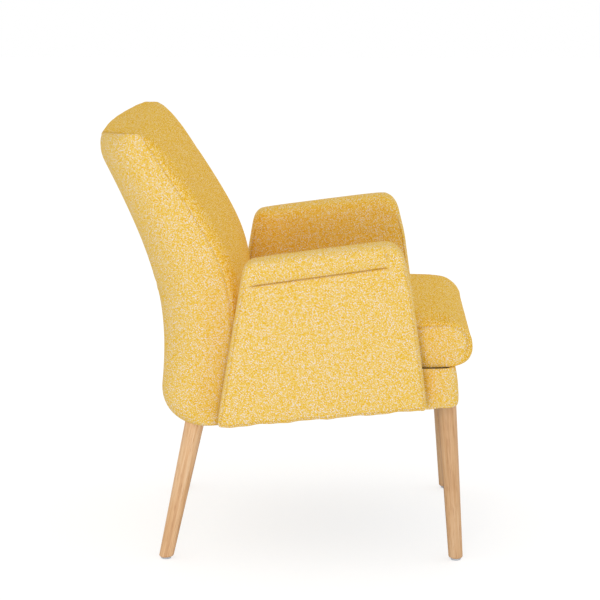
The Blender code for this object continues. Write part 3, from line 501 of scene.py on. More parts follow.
# %% The arm's outline and its grid lines
ARM_INNER = 0.2625
ARM_OUTER = 0.3255
ARM_CORNERS = ((0.062, 0.0095), (0.460, 0.0095), (0.376, 0.3235), (0.075, 0.3345))
ARM_RADII = (0.006, 0.006, 0.022, 0.034)
ARM_WIDTH = 0.36
ARM_HEIGHT = 0.315
TUCK = ((0.110, 0.2903), (0.373, 0.2782))  # the tuck's crease, from its front end to its rear end

arm_edges = rounded_edges(ARM_CORNERS, ARM_RADII)
arm_columns = spaced((0.012, 0.0015), (0.030, 0.003), (ARM_WIDTH - 0.012, 0.0055), (ARM_WIDTH, 0.0015)) / ARM_WIDTH
arm_rows = spaced((0.010, 0.0016), (0.262, 0.006), (0.300, 0.0010), (ARM_HEIGHT, 0.0022)) / ARM_HEIGHT
print("arm panel grid", len(arm_columns), "by", len(arm_rows))

# %% Roll, tuck and seams of the arm
ROLL_PROUD = 0.0085
ROLL_TURN = 0.0080  # the roll has risen by two thirds this far above the tuck
PLEAT_RIDGE = 0.1015  # a small pleat at the tuck's front end: a ridge, and a dip behind it
PLEAT_DIP = 0.1065
PLEAT_HEIGHT = 0.0016
# painted shade: how dark the pleat's dip is painted
PLEAT_SHADE = 0.35
CREASE_DEPTH = 0.0042
CREASE_WIDTH = 0.0013
STITCH_WIDTH = 0.0020
STITCH_DEPTH = 0.0017
STITCH_FADE = (0.276, 0.300)  # heights between which the boxing's seam fades out
FRONT_LEAN = 0.0065
LEAN_REACH = 0.20  # how far behind the front edge the lean ends
WANDER_WIDE, WANDER_FINE = 0.0010, 0.0006


def arm_face(y, z):
    """How far the outer face stands out, and how deep a point lies in the tuck.

    The roll rises steeply out of the tuck's line; beyond the tuck's two ends it swells up slowly instead.
    """
    slope = (TUCK[1][1] - TUCK[0][1]) / (TUCK[1][0] - TUCK[0][0])
    above = z - (TUCK[0][1] + slope * (y - TUCK[0][0]))
    held = soft_step(y, TUCK[0][0] - 0.007, TUCK[0][0] + 0.004)
    held = held * soft_step(y, TUCK[1][0] + 0.008, TUCK[1][0] - 0.016)
    steep = 1 - np.exp(-np.maximum(above, 0) / ROLL_TURN)
    slow = soft_step(above, -0.050, 0.016)
    tuck = held * groove(np.where(above > 0, above / 0.7, above), CREASE_WIDTH)
    high = soft_step(z, 0.302, 0.314)
    pleat = groove(y - PLEAT_RIDGE, 0.0022) * high - groove(y - PLEAT_DIP, 0.003) * high
    tuck = np.maximum(tuck, PLEAT_SHADE * groove(y - PLEAT_DIP, 0.002) * high)
    return ROLL_PROUD * (held * steep + (1 - held) * slow) + PLEAT_HEIGHT * pleat - CREASE_DEPTH * tuck, tuck


def arm_settle(y, z):
    """The cloth's own way: the front edge leans back near the top, and the bottom edge runs a little unevenly."""
    behind = np.clip((y - ARM_CORNERS[0][0]) / LEAN_REACH, 0, 1)
    lean = FRONT_LEAN * soft_step(z, 0.235, 0.310) * (1 - behind) ** 2
    wander = WANDER_WIDE * np.sin(y * 71.0) + WANDER_FINE * np.sin(y * 167.0 + 1.0)
    return y + lean, z + wander * soft_step(z, 0.06, 0.01)


def stitched(z):
    """1 where the edge is sewn to the boxing, fading out below the top, which has no seam."""
    return 1 - soft_step(z, *STITCH_FADE)


print("tuck in the middle of its length", arm_face(np.array(0.24), np.array(0.2843)))

# %% The arm's boxing
EDGE_FRONT = 0.0035
EDGE_REAR = 0.0055
EDGE_TOP = 0.0150
EDGE_FOOT = 0.0050
EDGE_GROWS, EDGE_SHRINKS = 0.86, 0.10  # shares of the height above and below which the edges change
BOX_SWELL = 0.0012
EDGE_STEPS = 9
BOX_STEPS = 9


def edge_radii():
    """Radius of the rounded edge at every point of the loop: it grows towards the top and shrinks at the foot."""
    flat = np.ones(len(arm_columns))
    rise = soft_step(arm_rows, EDGE_GROWS, 1.0)
    foot = soft_step(arm_rows, EDGE_SHRINKS, 0.0)
    front, rear = (own + (EDGE_TOP - own) * rise + (EDGE_FOOT - own) * foot for own in (EDGE_FRONT, EDGE_REAR))
    runs = (EDGE_FOOT * flat, rear, EDGE_TOP * flat, front[::-1])
    return np.concatenate([run[:-1] for run in runs])


def arm_boxing(sign):
    """The strip round the edges, from the outer panel's rim to the inner one's: two roundings and a flat between."""
    ring, inwards = loop(arm_edges, arm_columns, arm_rows)
    edge = edge_radii()
    rim = ring + inwards * edge[:, None]
    outer_x = ARM_OUTER + arm_face(rim[:, 0], rim[:, 1])[0]
    turn = np.linspace(0, math.pi / 2, EDGE_STEPS)[:, None]
    line = stitched(rim[:, 1]) * groove(edge * turn, STITCH_WIDTH)
    inset = edge * (1 - np.sin(turn)) + STITCH_DEPTH * line * np.sin(turn)
    depth = edge * (1 - np.cos(turn)) + STITCH_DEPTH * line * np.cos(turn)
    share = np.linspace(0, 1, BOX_STEPS)[1:-1, None]
    across = (1 - share) * (outer_x - edge) + share * (ARM_INNER + edge)
    swell = -BOX_SWELL * (1 - (2 * share - 1) ** 2) * np.ones_like(edge)
    insets = np.concatenate([inset, swell, inset[::-1]])
    aside = np.concatenate([outer_x - depth, across, (ARM_INNER + depth)[::-1]])
    spots = ring + inwards * insets[..., None]
    points = seat_points(sign * aside, *arm_settle(spots[..., 0], spots[..., 1]))
    lines = np.concatenate([line, 0 * swell, line[::-1]])
    # painted shade: the boxing turns deeper golden towards the inner panel, and more so near the top
    inside = soft_step((ARM_OUTER - aside) / (ARM_OUTER - ARM_INNER), 0.05, 0.95)
    rubbed = inside * (0.15 + 0.45 * soft_step(spots[..., 1], 0.26, 0.31))
    return rim, [close_ring(v) for v in (points, lines, rubbed)]


print("edge radii", edge_radii().min(), "to", edge_radii().max())

# %% Both arms
PANEL_CROWN = 0.0014
# painted shade: how dark the stitched lines and the tuck's crease are painted
STITCH_SHADE = 0.26
TUCK_SHADE = 0.65
# painted shade: how deep a golden the inner panel is painted
INNER_SHADED = 0.35
PIN_GAIN = 1.4  # widens the pinned strip along a seam


def arm_cover(sign):
    """Patches of one arm, outer panel, boxing and inner panel, with their seam, rubbed and pin numbers."""
    rim, (boxing, lines, rubbed) = arm_boxing(sign)
    y, z = np.moveaxis(fill_patch(rim, arm_columns, arm_rows), -1, 0)
    a, b = arm_columns[None, :], arm_rows[:, None]
    border = np.minimum(np.minimum(a, 1 - a) * ARM_WIDTH, b * ARM_HEIGHT)
    stitch = groove(border, STITCH_WIDTH) * stitched(z)
    crown = PANEL_CROWN * (1 - (2 * a - 1) ** 4) * (1 - (2 * b - 1) ** 6)
    face, tuck = arm_face(y, z)
    settled = arm_settle(y, z)
    outer = seat_points(sign * (ARM_OUTER + face + crown - STITCH_DEPTH * stitch), *settled)
    inner = seat_points(sign * (ARM_INNER - crown * soft_step(z, 0.085, 0.13) + STITCH_DEPTH * stitch), *settled)
    # painted shade: stitched lines and the tuck's crease darken the colour
    crevice_shades = (np.maximum(STITCH_SHADE * stitch, TUCK_SHADE * tuck), STITCH_SHADE * lines, STITCH_SHADE * stitch)
    hidden = soft_step(z, 0.20, 0.12)
    held = np.clip(PIN_GAIN * np.maximum(stitch, tuck), 0, 1)
    pins = (held, np.clip(PIN_GAIN * lines, 0, 1), np.maximum(stitch, hidden))
    return (outer, boxing, inner), {"seam": crevice_shades, "rubbed": (0.0, rubbed, INNER_SHADED), "pin": pins}


arms = {}
for side, sign in (("right", -1), ("left", 1)):
    patches, numbers = arm_cover(sign)
    arms[side] = sew("arm_cover_" + side, patches, cloth, **numbers)
    nodes = [f"arm_{part}_{side}" for part in ("inner_pad", "outer_pad", "top_roll", "edge_band")]
    wear(arms[side], "chair", "fabric", *nodes)

# %% [markdown]
# ## The back
#
# The back is one closed cover: a padded front that leans back and rolls over the top, and a wrap that goes round both
# sides and the rear. Seen from above, each level is a closed curve: the front face, a rounded front edge, the
# stitched side seam, a flat side, a wide elliptical corner and the rear. The curves are stacked up the two leaning
# lines of the back, and the last one is drawn together over the top. A second seam runs round the sides and rear,
# just below it.

# %% The back's lines
BACK_HALF = 0.256
BACK_BEND = 0.3946
BACK_REAR = 0.4864
BACK_TOP = 0.8318
BACK_CAP = 0.8275  # the seam below the top, at the sides
BACK_FOOT = UNDERSIDE - math.tan(TILT) * BACK_REAR
SEAM_SETBACK = 0.021
FRONT_EDGE = 0.020
FRONT_EDGE_ACROSS = 0.046
TOP_LIP = 0.035
TOP_ROUND = 0.070
TOP_DRAW = 0.080
UNDER_DRAW = 0.105  # size of the ellipse that draws the rear in at its foot
UNDER_ROUND = 0.084
UNDER_START = 0.078


def bent_line(height, bend_y, bend_height, upper, lower, softness):
    """Two leaning lines joined by a hyperbola.

    Each slope is multiplied by half of the root of height squared plus softness squared, plus or minus the height.
    """
    above = height - bend_height
    blend = np.hypot(above, softness)
    return bend_y + math.tan(upper) * (blend + above) / 2 + math.tan(lower) * (blend - above) / 2


def front_line(height):
    """The front of the back: upright below, leaning by 34 degrees above."""
    leans = {"upper": math.radians(34.2), "lower": math.radians(2.0)}
    return bent_line(height, BACK_BEND, UNDERSIDE + 0.2496, softness=0.096, **leans)


def rear_line(height):
    """The rear of the back, rounded under at the foot and over at the top by quarter ellipses."""
    leans = {"upper": math.radians(32.5), "lower": math.radians(15.2)}
    line = bent_line(height, BACK_REAR, UNDERSIDE + 0.1795, softness=0.200, **leans)
    under = rounding((BACK_FOOT + UNDER_START - height) / UNDER_ROUND)
    over = rounding((height - (BACK_TOP - TOP_ROUND)) / TOP_ROUND)
    return line - UNDER_DRAW * under - TOP_DRAW * over


print("front and rear at the top", front_line(BACK_TOP).round(4), rear_line(BACK_TOP).round(4))

# %% The back's levels and rings
FACE_COLUMNS = 46
EDGE_COLUMNS = 14
SIDE_COLUMNS = 18
CORNER_COLUMNS = 28
REAR_COLUMNS = 14
TOP_LEVELS = 50
TOP_SIDE = 0.010
CORNER_DEPTH = 0.092
CORNER_FOOT, CORNER_GROWTH = 0.050, 0.195  # the corner's width at the foot, and how much it gains up to the seam
SIDE_PLAIN = 0.0554
FACE_SWELL = 0.004
SWELL_FOOT = 0.3386  # height at which the padding of the front begins

levels = BACK_FOOT + spaced((0.016, 0.0028), (0.080, 0.005), (0.494, 0.0062), (0.519, 0.0030))
levels = np.concatenate([levels, np.linspace(levels[-1], BACK_TOP, TOP_LEVELS)[1:]])
level = levels[:, None]


def back_half_ring(level):
    """Half a level from the middle of the front to the middle of the rear: face, edge, side, corner and rear."""
    lip = TOP_LIP * rounding((level - (BACK_TOP - TOP_LIP)) / TOP_LIP)
    front = front_line(level) + lip
    rear = rear_line(level)
    drawn = TOP_SIDE * rounding((level - (BACK_TOP - TOP_SIDE)) / TOP_SIDE)
    half = BACK_HALF - drawn
    edge = np.clip(SEAM_SETBACK - lip - 0.001, 0.0075, FRONT_EDGE)
    share = np.clip((level - BACK_FOOT) / (BACK_CAP - BACK_FOOT), 0, 1)
    width = CORNER_FOOT + CORNER_GROWTH * share
    plain = SIDE_PLAIN - 0.020 * soft_step(level, BACK_TOP - 0.050, BACK_TOP)
    room = np.minimum(rear - front_line(level) - plain, rear - front - edge - 0.006)
    depth = np.minimum(np.minimum(width, CORNER_DEPTH), room)
    wide = edge * FRONT_EDGE_ACROSS / FRONT_EDGE
    face_x = (half - wide) * np.linspace(0, 1, FACE_COLUMNS + 1)[:-1]
    swell = FACE_SWELL * np.sin(math.pi * np.clip((level - SWELL_FOOT) / (BACK_TOP - SWELL_FOOT), 0, 1))
    face_y = front - swell * (1 - (face_x / BACK_HALF) ** 2)
    turn = np.linspace(0, math.pi / 2, EDGE_COLUMNS + 1)[:-1]
    edge_x = half - wide + wide * np.sin(turn)
    edge_y = front + edge * (1 - np.cos(turn)) - swell * (1 - (edge_x / BACK_HALF) ** 2)
    side_share = np.linspace(0, 1, SIDE_COLUMNS + 1)[:-1] ** 1.7
    side_y = front + edge + (rear - depth - front - edge) * side_share
    side_x = half + 0 * side_y
    sweep = np.linspace(0, math.pi / 2, CORNER_COLUMNS + 1)[:-1]
    corner_x = half - width + width * np.cos(sweep)
    corner_y = rear - depth + depth * np.sin(sweep)
    rear_x = (half - width) * np.linspace(1, 0, REAR_COLUMNS)
    rear_y = rear + 0 * rear_x
    xs = np.concatenate([face_x, edge_x, side_x, corner_x, rear_x], axis=1)
    ys = np.concatenate([face_y, edge_y, side_y, corner_y, rear_y], axis=1)
    return xs, ys


half_x, half_y = back_half_ring(level)
print("back rings", half_x.shape)

# %% How the top falls away
TOP_FALL = 0.09
CORNER_FALL = 0.03
FOLD_HEIGHT = 0.0012
FALL_START = 0.605
CORNER_POINT = (0.256, 0.604)  # the slanting line across a rear corner goes through this point
CORNER_AIM = (0.050, 0.056)  # and lies square to this direction
CORNER_SPAN = 0.075


def top_drop(x, y):
    """How far the top lies below its front edge.

    It falls to the rear and once more beyond a slanting line across each rear corner, and a small fold stands up
    along that line.
    """
    behind = y - FALL_START
    across = CORNER_AIM[0] * (np.abs(x) - CORNER_POINT[0]) + CORNER_AIM[1] * (y - CORNER_POINT[1])
    across = across / CORNER_SPAN
    fall = TOP_FALL * (behind + np.hypot(behind, 0.012)) / 2
    corner = CORNER_FALL * (across + np.hypot(across, 0.006)) / 2
    fold = FOLD_HEIGHT * groove(across, 0.0045) * soft_step(np.abs(x), 0.16, 0.20)
    return fall + corner - fold


lean = math.tan(TILT) * np.clip((BACK_CAP - level) / (BACK_CAP - BACK_FOOT), 0, 1)
half_z = level - lean * (half_y - BACK_REAR)
half_z = half_z - top_drop(half_x, half_y) * soft_step(level, BACK_TOP - 0.055, BACK_TOP)
print("the top at the middle of the rear", half_z[-1, -1].round(4))

# %% The back's seams and small folds
SEAM_WIDTH = 0.0020
SEAM_DEPTH = 0.0015
SIDE_PUFF = 0.0010  # how far the cloth stands out beside the side seam, at the upper seam and above it
CAP_LIFT = 0.0006
CAP_PUFF = 0.0012
GAP_SHADE = 0.55  # stands in for the shade in the gap between arm and back
ARM_GAP = 0.006  # how far behind the arm that shade fades out
# painted shade: how dark the side seam and the fold below the upper seam are painted
SIDE_SHADE = 0.20
CAP_SHADE = 0.32
CAP_SLOPE = 0.12  # how much the upper seam drops towards the middle of the rear


def outward(xs, ys):
    """Unit direction square to each level's curve, away from its middle."""
    dx = np.gradient(xs, axis=1)
    dy = np.gradient(ys, axis=1)
    length = np.hypot(dx, dy) + 1e-12
    return dy / length, -dx / length


behind = half_y - (front_line(level) + SEAM_SETBACK)
beside = soft_step(half_x, BACK_HALF - 0.020, BACK_HALF - 0.004)
over = half_z - BACK_CAP + CAP_SLOPE * np.clip(BACK_HALF - half_x, 0, 0.22)
wrapped = soft_step(behind, -0.001, 0.003)
below = 1 - soft_step(over, -0.006, 0.0)
side_seam = groove(behind, SEAM_WIDTH) * beside * (1 - soft_step(over, -0.002, 0.002))
side_puff = (groove(behind + 0.0065, 0.005) + groove(behind - 0.0065, 0.005)) * beside * below
cap_edge = groove(over, 0.0012) * wrapped
cap_fold = groove(over - 0.0026, 0.0016) * soft_step(behind, 0.003, 0.014)
cap_puff = soft_step(over, 0.002, 0.008) * wrapped * soft_step(level, BACK_TOP + 0.001, BACK_TOP - 0.004)
sink = SEAM_DEPTH * (side_seam + cap_fold) - SIDE_PUFF * side_puff - CAP_LIFT * cap_edge - CAP_PUFF * cap_puff
out_x, out_y = outward(half_x, half_y)
half_x = half_x - sink * out_x
half_y = half_y - sink * out_y
half_x[:, 0] = 0.0
half_x[:, -1] = 0.0
seat_y = half_y * math.cos(TILT) - (half_z - UNDERSIDE) * math.sin(TILT)
seat_z = half_y * math.sin(TILT) + (half_z - UNDERSIDE) * math.cos(TILT)
(foot_y, foot_z), (head_y, head_z) = ARM_CORNERS[1:3]
past_arm = seat_y - foot_y - (seat_z - foot_z) * (head_y - foot_y) / (head_z - foot_z)
arm_high = soft_step(seat_z, head_z + 0.02, head_z - 0.02)
beside_arm = np.exp(-np.maximum(past_arm - 0.003, 0) / ARM_GAP) * beside * arm_high
# painted shade: seams, the fold and the gap beside the arm darken the colour; the front and the top are painted
# deeper golden
half_numbers = {
    "seam": np.maximum(np.maximum(SIDE_SHADE * side_seam, CAP_SHADE * cap_fold), GAP_SHADE * beside_arm),
    "rubbed": np.maximum(1 - soft_step(behind, -0.010, 0.002), soft_step(over, -0.001, 0.004)),
    "pin": np.clip(PIN_GAIN * np.maximum(side_seam, cap_edge) + soft_step(level, 0.54, 0.46), 0, 1),
}
print("seam numbers up to", half_numbers["seam"].max().round(3))

# %% Close the back over its top and under its foot


def mirror_ring(values, flip=1):
    """The whole level: the half, and its mirror image back to the start."""
    return np.concatenate([values, flip * values[:, -2:0:-1]], axis=1)


def middle_line(x, y):
    """For each point of one ring, the point half way to its partner across the front-to-rear line."""
    count = len(x)
    half = count // 2
    partner = (half - np.arange(count)) % count
    return (x + x[partner]) / 2, (y + y[partner]) / 2


ring_x, ring_y, ring_z = mirror_ring(half_x, -1), mirror_ring(half_y), mirror_ring(half_z)
closing = np.linspace(0, 1, 15)[1:, None] ** 1.2
lids = []
for row, is_top in ((-1, True), (0, False)):
    mid_x, mid_y = middle_line(ring_x[row], ring_y[row])
    x = ring_x[row] + closing * (mid_x - ring_x[row])
    y = ring_y[row] + closing * (mid_y - ring_y[row])
    lids.append(chair_points(x, y, levels[row] - lean[row] * (y - BACK_REAR) - is_top * top_drop(x, y)))
whole = np.concatenate([lids[1][::-1], chair_points(ring_x, ring_y, ring_z), lids[0]])
blank = np.zeros((len(closing), ring_x.shape[1]))
numbers = {}
for label, foot, top in (("seam", 0.0, 0.0), ("rubbed", 0.0, 1.0), ("pin", 1.0, 0.0)):
    grid = np.concatenate([blank + foot, mirror_ring(half_numbers[label]), blank + top])
    numbers[label] = [close_ring(grid)]
back = sew("back_cover", [close_ring(whole)], cloth, **numbers)
wear(back, "chair", "fabric", "back_shell", "back_pad")

# %% [markdown]
# ## The loose cushion
#
# The cushion is a soft block of foam in a cover. Its plan is a rectangle with rounded corners whose sides pull in a
# little. Going up, the front swells out into a full nose and the other sides only slightly, and the top is crowned.
# The top panel runs over the nose without a seam, so each side is a separate gusset with a rounded seam line.

# %% The cushion's rings
CUSHION_BASE = 0.0753
CUSHION_HEIGHT = 0.086
CUSHION_REAR = 0.3848
CUSHION_HALF = 0.2545
CUSHION_NOSE = 0.0395
CUSHION_SWELL = 0.007
CUSHION_CROWN = 0.030
CUSHION_CORNER = 0.026
CUSHION_DRAW = 0.004
CUSHION_SKEW = 0.0045  # how far the left end of the nose lies back: loose cushions never lie quite straight
CUSHION_RINGS = 33
FULL_ABOVE, FULL_BELOW = 1.7, 2.6  # powers of the nose's curve: a circle has 2, and more is squarer
DROOP = 0.004  # how far the seat's front edge has given way

cushion_columns = spaced((0.012, 0.003), (0.488, 0.0068), (0.500, 0.003)) / 0.5
cushion_rows = spaced((0.012, 0.003), (0.408, 0.0068), (0.420, 0.003)) / 0.42


def droop(y):
    """How much lower the seat's soft top lies near its front edge."""
    return DROOP * soft_step(y, 0.080, -0.010)


def cushion_loop(turn):
    """One ring: how far the front, the sides and the rear stand out when the edge has turned this far."""
    fullness = FULL_ABOVE if turn > 0 else FULL_BELOW
    bulge = max(1 - abs(math.sin(turn)) ** fullness, 0.0) ** (1 / fullness)
    front = -CUSHION_NOSE * bulge
    rear = CUSHION_REAR + CUSHION_SWELL * math.cos(turn)
    half = CUSHION_HALF - CUSHION_SWELL * (1 - math.cos(turn))
    corners = ((-half, front), (half, front), (half, rear), (-half, rear))
    ring, _ = loop(rounded_edges(corners, [CUSHION_CORNER] * 4), cushion_columns, cushion_rows)
    middle = (front + rear) / 2
    reach = (rear - front) / 2
    draw = 1 - CUSHION_DRAW / half * (1 - np.clip((ring[:, 1] - middle) / reach, -1, 1) ** 2)
    skew = CUSHION_SKEW * (1 + ring[:, 0] / half) / 2 * (1 - soft_step(ring[:, 1], -0.02, 0.20))
    height = CUSHION_BASE + CUSHION_HEIGHT / 2 * (1 + math.sin(turn))
    height = height - droop(ring[:, 1]) * soft_step(-math.sin(turn), -0.2, 1.0)
    return np.stack([ring[:, 0] * draw, ring[:, 1] + skew, height], axis=-1)


turns = np.linspace(-math.pi / 2, math.pi / 2, CUSHION_RINGS)
cushion_rings = np.stack([cushion_loop(turn) for turn in turns])
print("cushion rings", cushion_rings.shape)

# %% The gusset's seam and the cushion's faces
GUSSET_TOP = 0.1545
GUSSET_FRONT = 0.011
GUSSET_ROUND = 0.024
GUSSET_NOSE = 1.9  # power of the nose's curve that the seam follows
GUSSET_WIDTH = 0.0024
GUSSET_DEPTH = 0.0012
# painted shade: how dark the gusset's seam is painted
GUSSET_SHADE = 0.30
# painted shade: how deep a golden the front and rear faces are painted
NOSE_SHADED = 0.85
DOME_ACROSS, DOME_ALONG = 5.0, 2.4  # powers of the crown: more is flatter in the middle


def gusset_distance(points):
    """How far a point lies outside the gusset's rounded front top corner, seen from the side; negative inside."""
    y, z = points[..., 1], points[..., 2]
    share = np.clip((z - CUSHION_BASE) / CUSHION_HEIGHT * 2 - 1, -1, 1)
    nose = -CUSHION_NOSE * np.clip(1 - np.abs(share) ** GUSSET_NOSE, 0, 1) ** (1 / GUSSET_NOSE)
    before = nose + GUSSET_FRONT - y + GUSSET_ROUND
    over = z - GUSSET_TOP + GUSSET_ROUND
    outside = np.hypot(np.maximum(before, 0), np.maximum(over, 0))
    return outside + np.minimum(np.maximum(before, over), 0) - GUSSET_ROUND


sides = soft_step(np.abs(cushion_rings[..., 0]), CUSHION_HALF - 0.018, CUSHION_HALF - 0.010)
distance = gusset_distance(cushion_rings)
low = soft_step(cushion_rings[..., 2], CUSHION_BASE + 0.012, CUSHION_BASE + 0.032)
gusset = groove(distance, GUSSET_WIDTH) * sides * low
cushion_rings[..., 0] -= np.sign(cushion_rings[..., 0]) * GUSSET_DEPTH * gusset
# painted shade: the top, the front and rear faces, and the sides in front of and above the gusset's seam are painted
# deeper golden; the gussets are not
nose_shaded = NOSE_SHADED * soft_step(cushion_rings[..., 2], CUSHION_BASE + 0.010, CUSHION_BASE + 0.040)
rubbed = sides * soft_step(distance, -0.001, 0.005) + (1 - sides) * nose_shaded
held = np.maximum(gusset, soft_step(turns, -0.7, -1.2)[:, None])
a, b = cushion_columns[None, :], cushion_rows[:, None]
dome = (1 - np.abs(2 * a - 1) ** DOME_ACROSS) * (1 - np.abs(2 * b - 1) ** DOME_ALONG)
top = fill_patch(cushion_rings[-1], cushion_columns, cushion_rows)
top[..., 2] += CUSHION_CROWN * dome
under = fill_patch(cushion_rings[0], cushion_columns, cushion_rows)
ringed, seam, rubbed, held = map(close_ring, (cushion_rings, GUSSET_SHADE * gusset, rubbed, held))
patches = [seat_points(p[..., 0], p[..., 1], p[..., 2]) for p in (ringed, top, under)]
cushion = sew("seat_cushion", patches, cloth, seam=(seam, 0.0, 0.0), rubbed=(rubbed, 1.0, 0.0), pin=(held, 0.0, 1.0))
wear(cushion, "cushion", "fabric", "seat_cushion_cover", "seat_cushion_core", "seat_cushion_underside")

# %% [markdown]
# ## Seat border, side strips, deck and lining
#
# Below the cushion a padded band goes round the front of the frame and ends just before the arms. It is a rounded
# profile carried along a U-shaped path. The strips beside the frame, the deck under the cushion and the lining under
# the seat are thin slabs.

# %% The border's path
BORDER_HALF = 0.2639
BORDER_FRONT = -0.0024
BORDER_CORNER = 0.026
BORDER_BACK = 0.110  # depth at which its ends lie, hidden by the arms
BORDER_TUCK = 0.0056  # how far it draws in to pass behind the arm
SIDE_LINES, CORNER_LINES, FRONT_LINES = 37, 17, 40


def drawn_in(y):
    """How far the border has drawn in at this depth: all of BORDER_TUCK beside the arm, nothing before it."""
    return BORDER_TUCK * soft_step(y, 0.036, 0.060)


def border_path():
    """Outer line of the border in plan and its inward directions: side, corner, front, and their mirror image."""
    turn = np.linspace(0, math.pi / 2, CORNER_LINES)
    centre_x = BORDER_HALF - BORDER_CORNER
    centre_y = BORDER_FRONT + BORDER_CORNER
    back = np.linspace(BORDER_BACK, centre_y, SIDE_LINES)[:-1]
    side = np.stack([BORDER_HALF - drawn_in(back), back], axis=-1)
    arc = np.stack([centre_x + BORDER_CORNER * np.cos(turn), centre_y - BORDER_CORNER * np.sin(turn)], axis=-1)
    across = np.linspace(centre_x, 0, FRONT_LINES)[1:]
    front = np.stack([across, np.full(len(across), BORDER_FRONT)], axis=-1)
    inward_arc = -np.stack([np.cos(turn), -np.sin(turn)], axis=-1)
    inward = np.concatenate([np.tile([-1.0, 0.0], (len(side), 1)), inward_arc, np.tile([0.0, 1.0], (len(front), 1))])
    points = np.concatenate([side, arc, front])
    flip = np.array([-1.0, 1.0])
    return np.concatenate([points, points[-2::-1] * flip]), np.concatenate([inward, inward[-2::-1] * flip])


path, inward = border_path()
print("border path of", len(path), "points")

# %% The seat border
BORDER_THICK = 0.0122
BORDER_LOW = -0.0050
BORDER_HIGH = 0.0755
BORDER_END = 0.035  # height at which the two ends close
BORDER_BULGE = 0.0016
BORDER_SAG = 0.0008
SQUARE_UP, SQUARE_IN = 0.42, 0.62  # powers of the profile: a circle has 1, and less is squarer
PROFILE_POINTS = 65

thick = BORDER_THICK - drawn_in(path[:, 1])
turn = np.linspace(0, 2 * math.pi, PROFILE_POINTS)[:, None]
high = np.sign(np.sin(turn)) * np.abs(np.sin(turn)) ** SQUARE_UP
deep = np.sign(np.cos(turn)) * np.abs(np.cos(turn)) ** SQUARE_IN
bulge = np.where(deep < 0, BORDER_BULGE * (1 - high**2), 0.0)
sag = BORDER_SAG * np.sin(path[:, 1] * 140.0 + path[:, 0] * 60.0) * soft_step(-high, 0.3, 1.0)
height = BORDER_LOW + (BORDER_HIGH - droop(path[:, 1]) - BORDER_LOW) / 2 * (1 + high) + sag
spots = path[None] + inward[None] * (thick / 2 * (1 + deep) - bulge)[..., None]
tube = seat_points(spots[..., 0], spots[..., 1], height)
core = path + inward * thick[:, None] / 2
ends = [seat_points(core[i, 0], core[i, 1], height[:, i] * 0 + BORDER_END) for i in (0, -1)]
tube = np.concatenate([ends[0][:, None], tube, ends[1][:, None]], axis=1)
held = np.maximum(soft_step(deep, -0.5, 0.1), soft_step(np.abs(high), 0.9, 1.0))
held = held + soft_step(path[:, 1], 0.030, 0.044)
held = np.concatenate([held[:, :1], held, held[:, -1:]], axis=1)
border = sew("seat_border_cover", [tube], cloth, pin=[np.clip(held, 0, 1)])
wear(border, "chair", "fabric", "seat_border")

# %% Thin slabs, and the side strips
SLAB_STEP = 0.008
STRIP = ((0.1120, 0.002), (0.392, 0.002), (0.392, 0.0745), (0.1120, 0.0745))
STRIP_NEAR, STRIP_FAR = 0.2518, 0.2618  # from the middle of the chair


def slab(corners, low, high, place, radius, edge):
    """Patches of a slab between two flat faces, with quarter-round edges."""
    edges = rounded_edges(corners, [radius] * 4)
    lengths = [edges[i][0][-1] for i in (0, 1)]
    lines = [np.linspace(0, 1, max(int(length / SLAB_STEP), 4) + 1) for length in lengths]
    ring, inwards = loop(edges, *lines)
    turn = np.linspace(0, math.pi / 2, 6)[:, None]
    inset = np.concatenate([edge * (1 - np.sin(turn)), (edge * (1 - np.sin(turn)))[::-1]])
    level = np.concatenate([high - edge * (1 - np.cos(turn)), (low + edge * (1 - np.cos(turn)))[::-1]])
    spots = ring + inwards * inset[..., None]
    band = place(spots[..., 0], spots[..., 1], level + 0 * spots[..., 0])
    upper, lower = (fill_patch(spots[i], *lines) for i in (0, -1))
    upper = place(upper[..., 0], upper[..., 1], high)
    lower = place(lower[..., 0], lower[..., 1], low)
    return [close_ring(band), upper, lower]


for side, sign in (("right", -1), ("left", 1)):
    patches = slab(
        STRIP, STRIP_NEAR, STRIP_FAR, lambda y, z, x: seat_points(sign * x, y, z), radius=0.006, edge=0.0035
    )
    strip = sew("base_strip_" + side, patches, cloth)
    wear(strip, "chair", "fabric", "base_side_pad_" + side)

# %% [markdown]
# ## Linings
#
# Two cloths on the chair aren't meant to be seen: a dark woven lining over the deck under the cushion, and a thin
# black sheet stapled under the frame. Both get the same plain weave from two crossed wave patterns.

# %% Dark linings


def make_woven(name, colour, dark, scale):
    """A plain weave: two crossed waves set the colour, and their product the height of the threads."""
    material, tree, surface = new_material(name)
    link = tree.links.new
    set_inputs(surface, Roughness=0.92, Specular_IOR_Level=0.15)
    place = node(tree, "ShaderNodeTexCoord", (-1000, 0))
    waves = []
    for direction, y in (("X", 150), ("Y", -150)):
        wave = node(tree, "ShaderNodeTexWave", (-800, y), wave_type="BANDS", bands_direction=direction)
        set_inputs(wave, Scale=scale, Distortion=0.6, Detail=1.0)
        link(place.outputs["Object"], wave.inputs["Vector"])
        waves.append(wave)
    both = node(tree, "ShaderNodeMath", (-550, 0), operation="MULTIPLY")
    link(waves[0].outputs["Fac"], both.inputs[0])
    link(waves[1].outputs["Fac"], both.inputs[1])
    ramp = colour_row(tree, (-350, 100), both.outputs[0], ((0.0, *dark), (1.0, *colour)))
    link(ramp.outputs["Color"], surface.inputs["Base Color"])
    add_bump(tree, (-250, -250), both.outputs[0], strength=0.4, distance=0.0006)
    return material


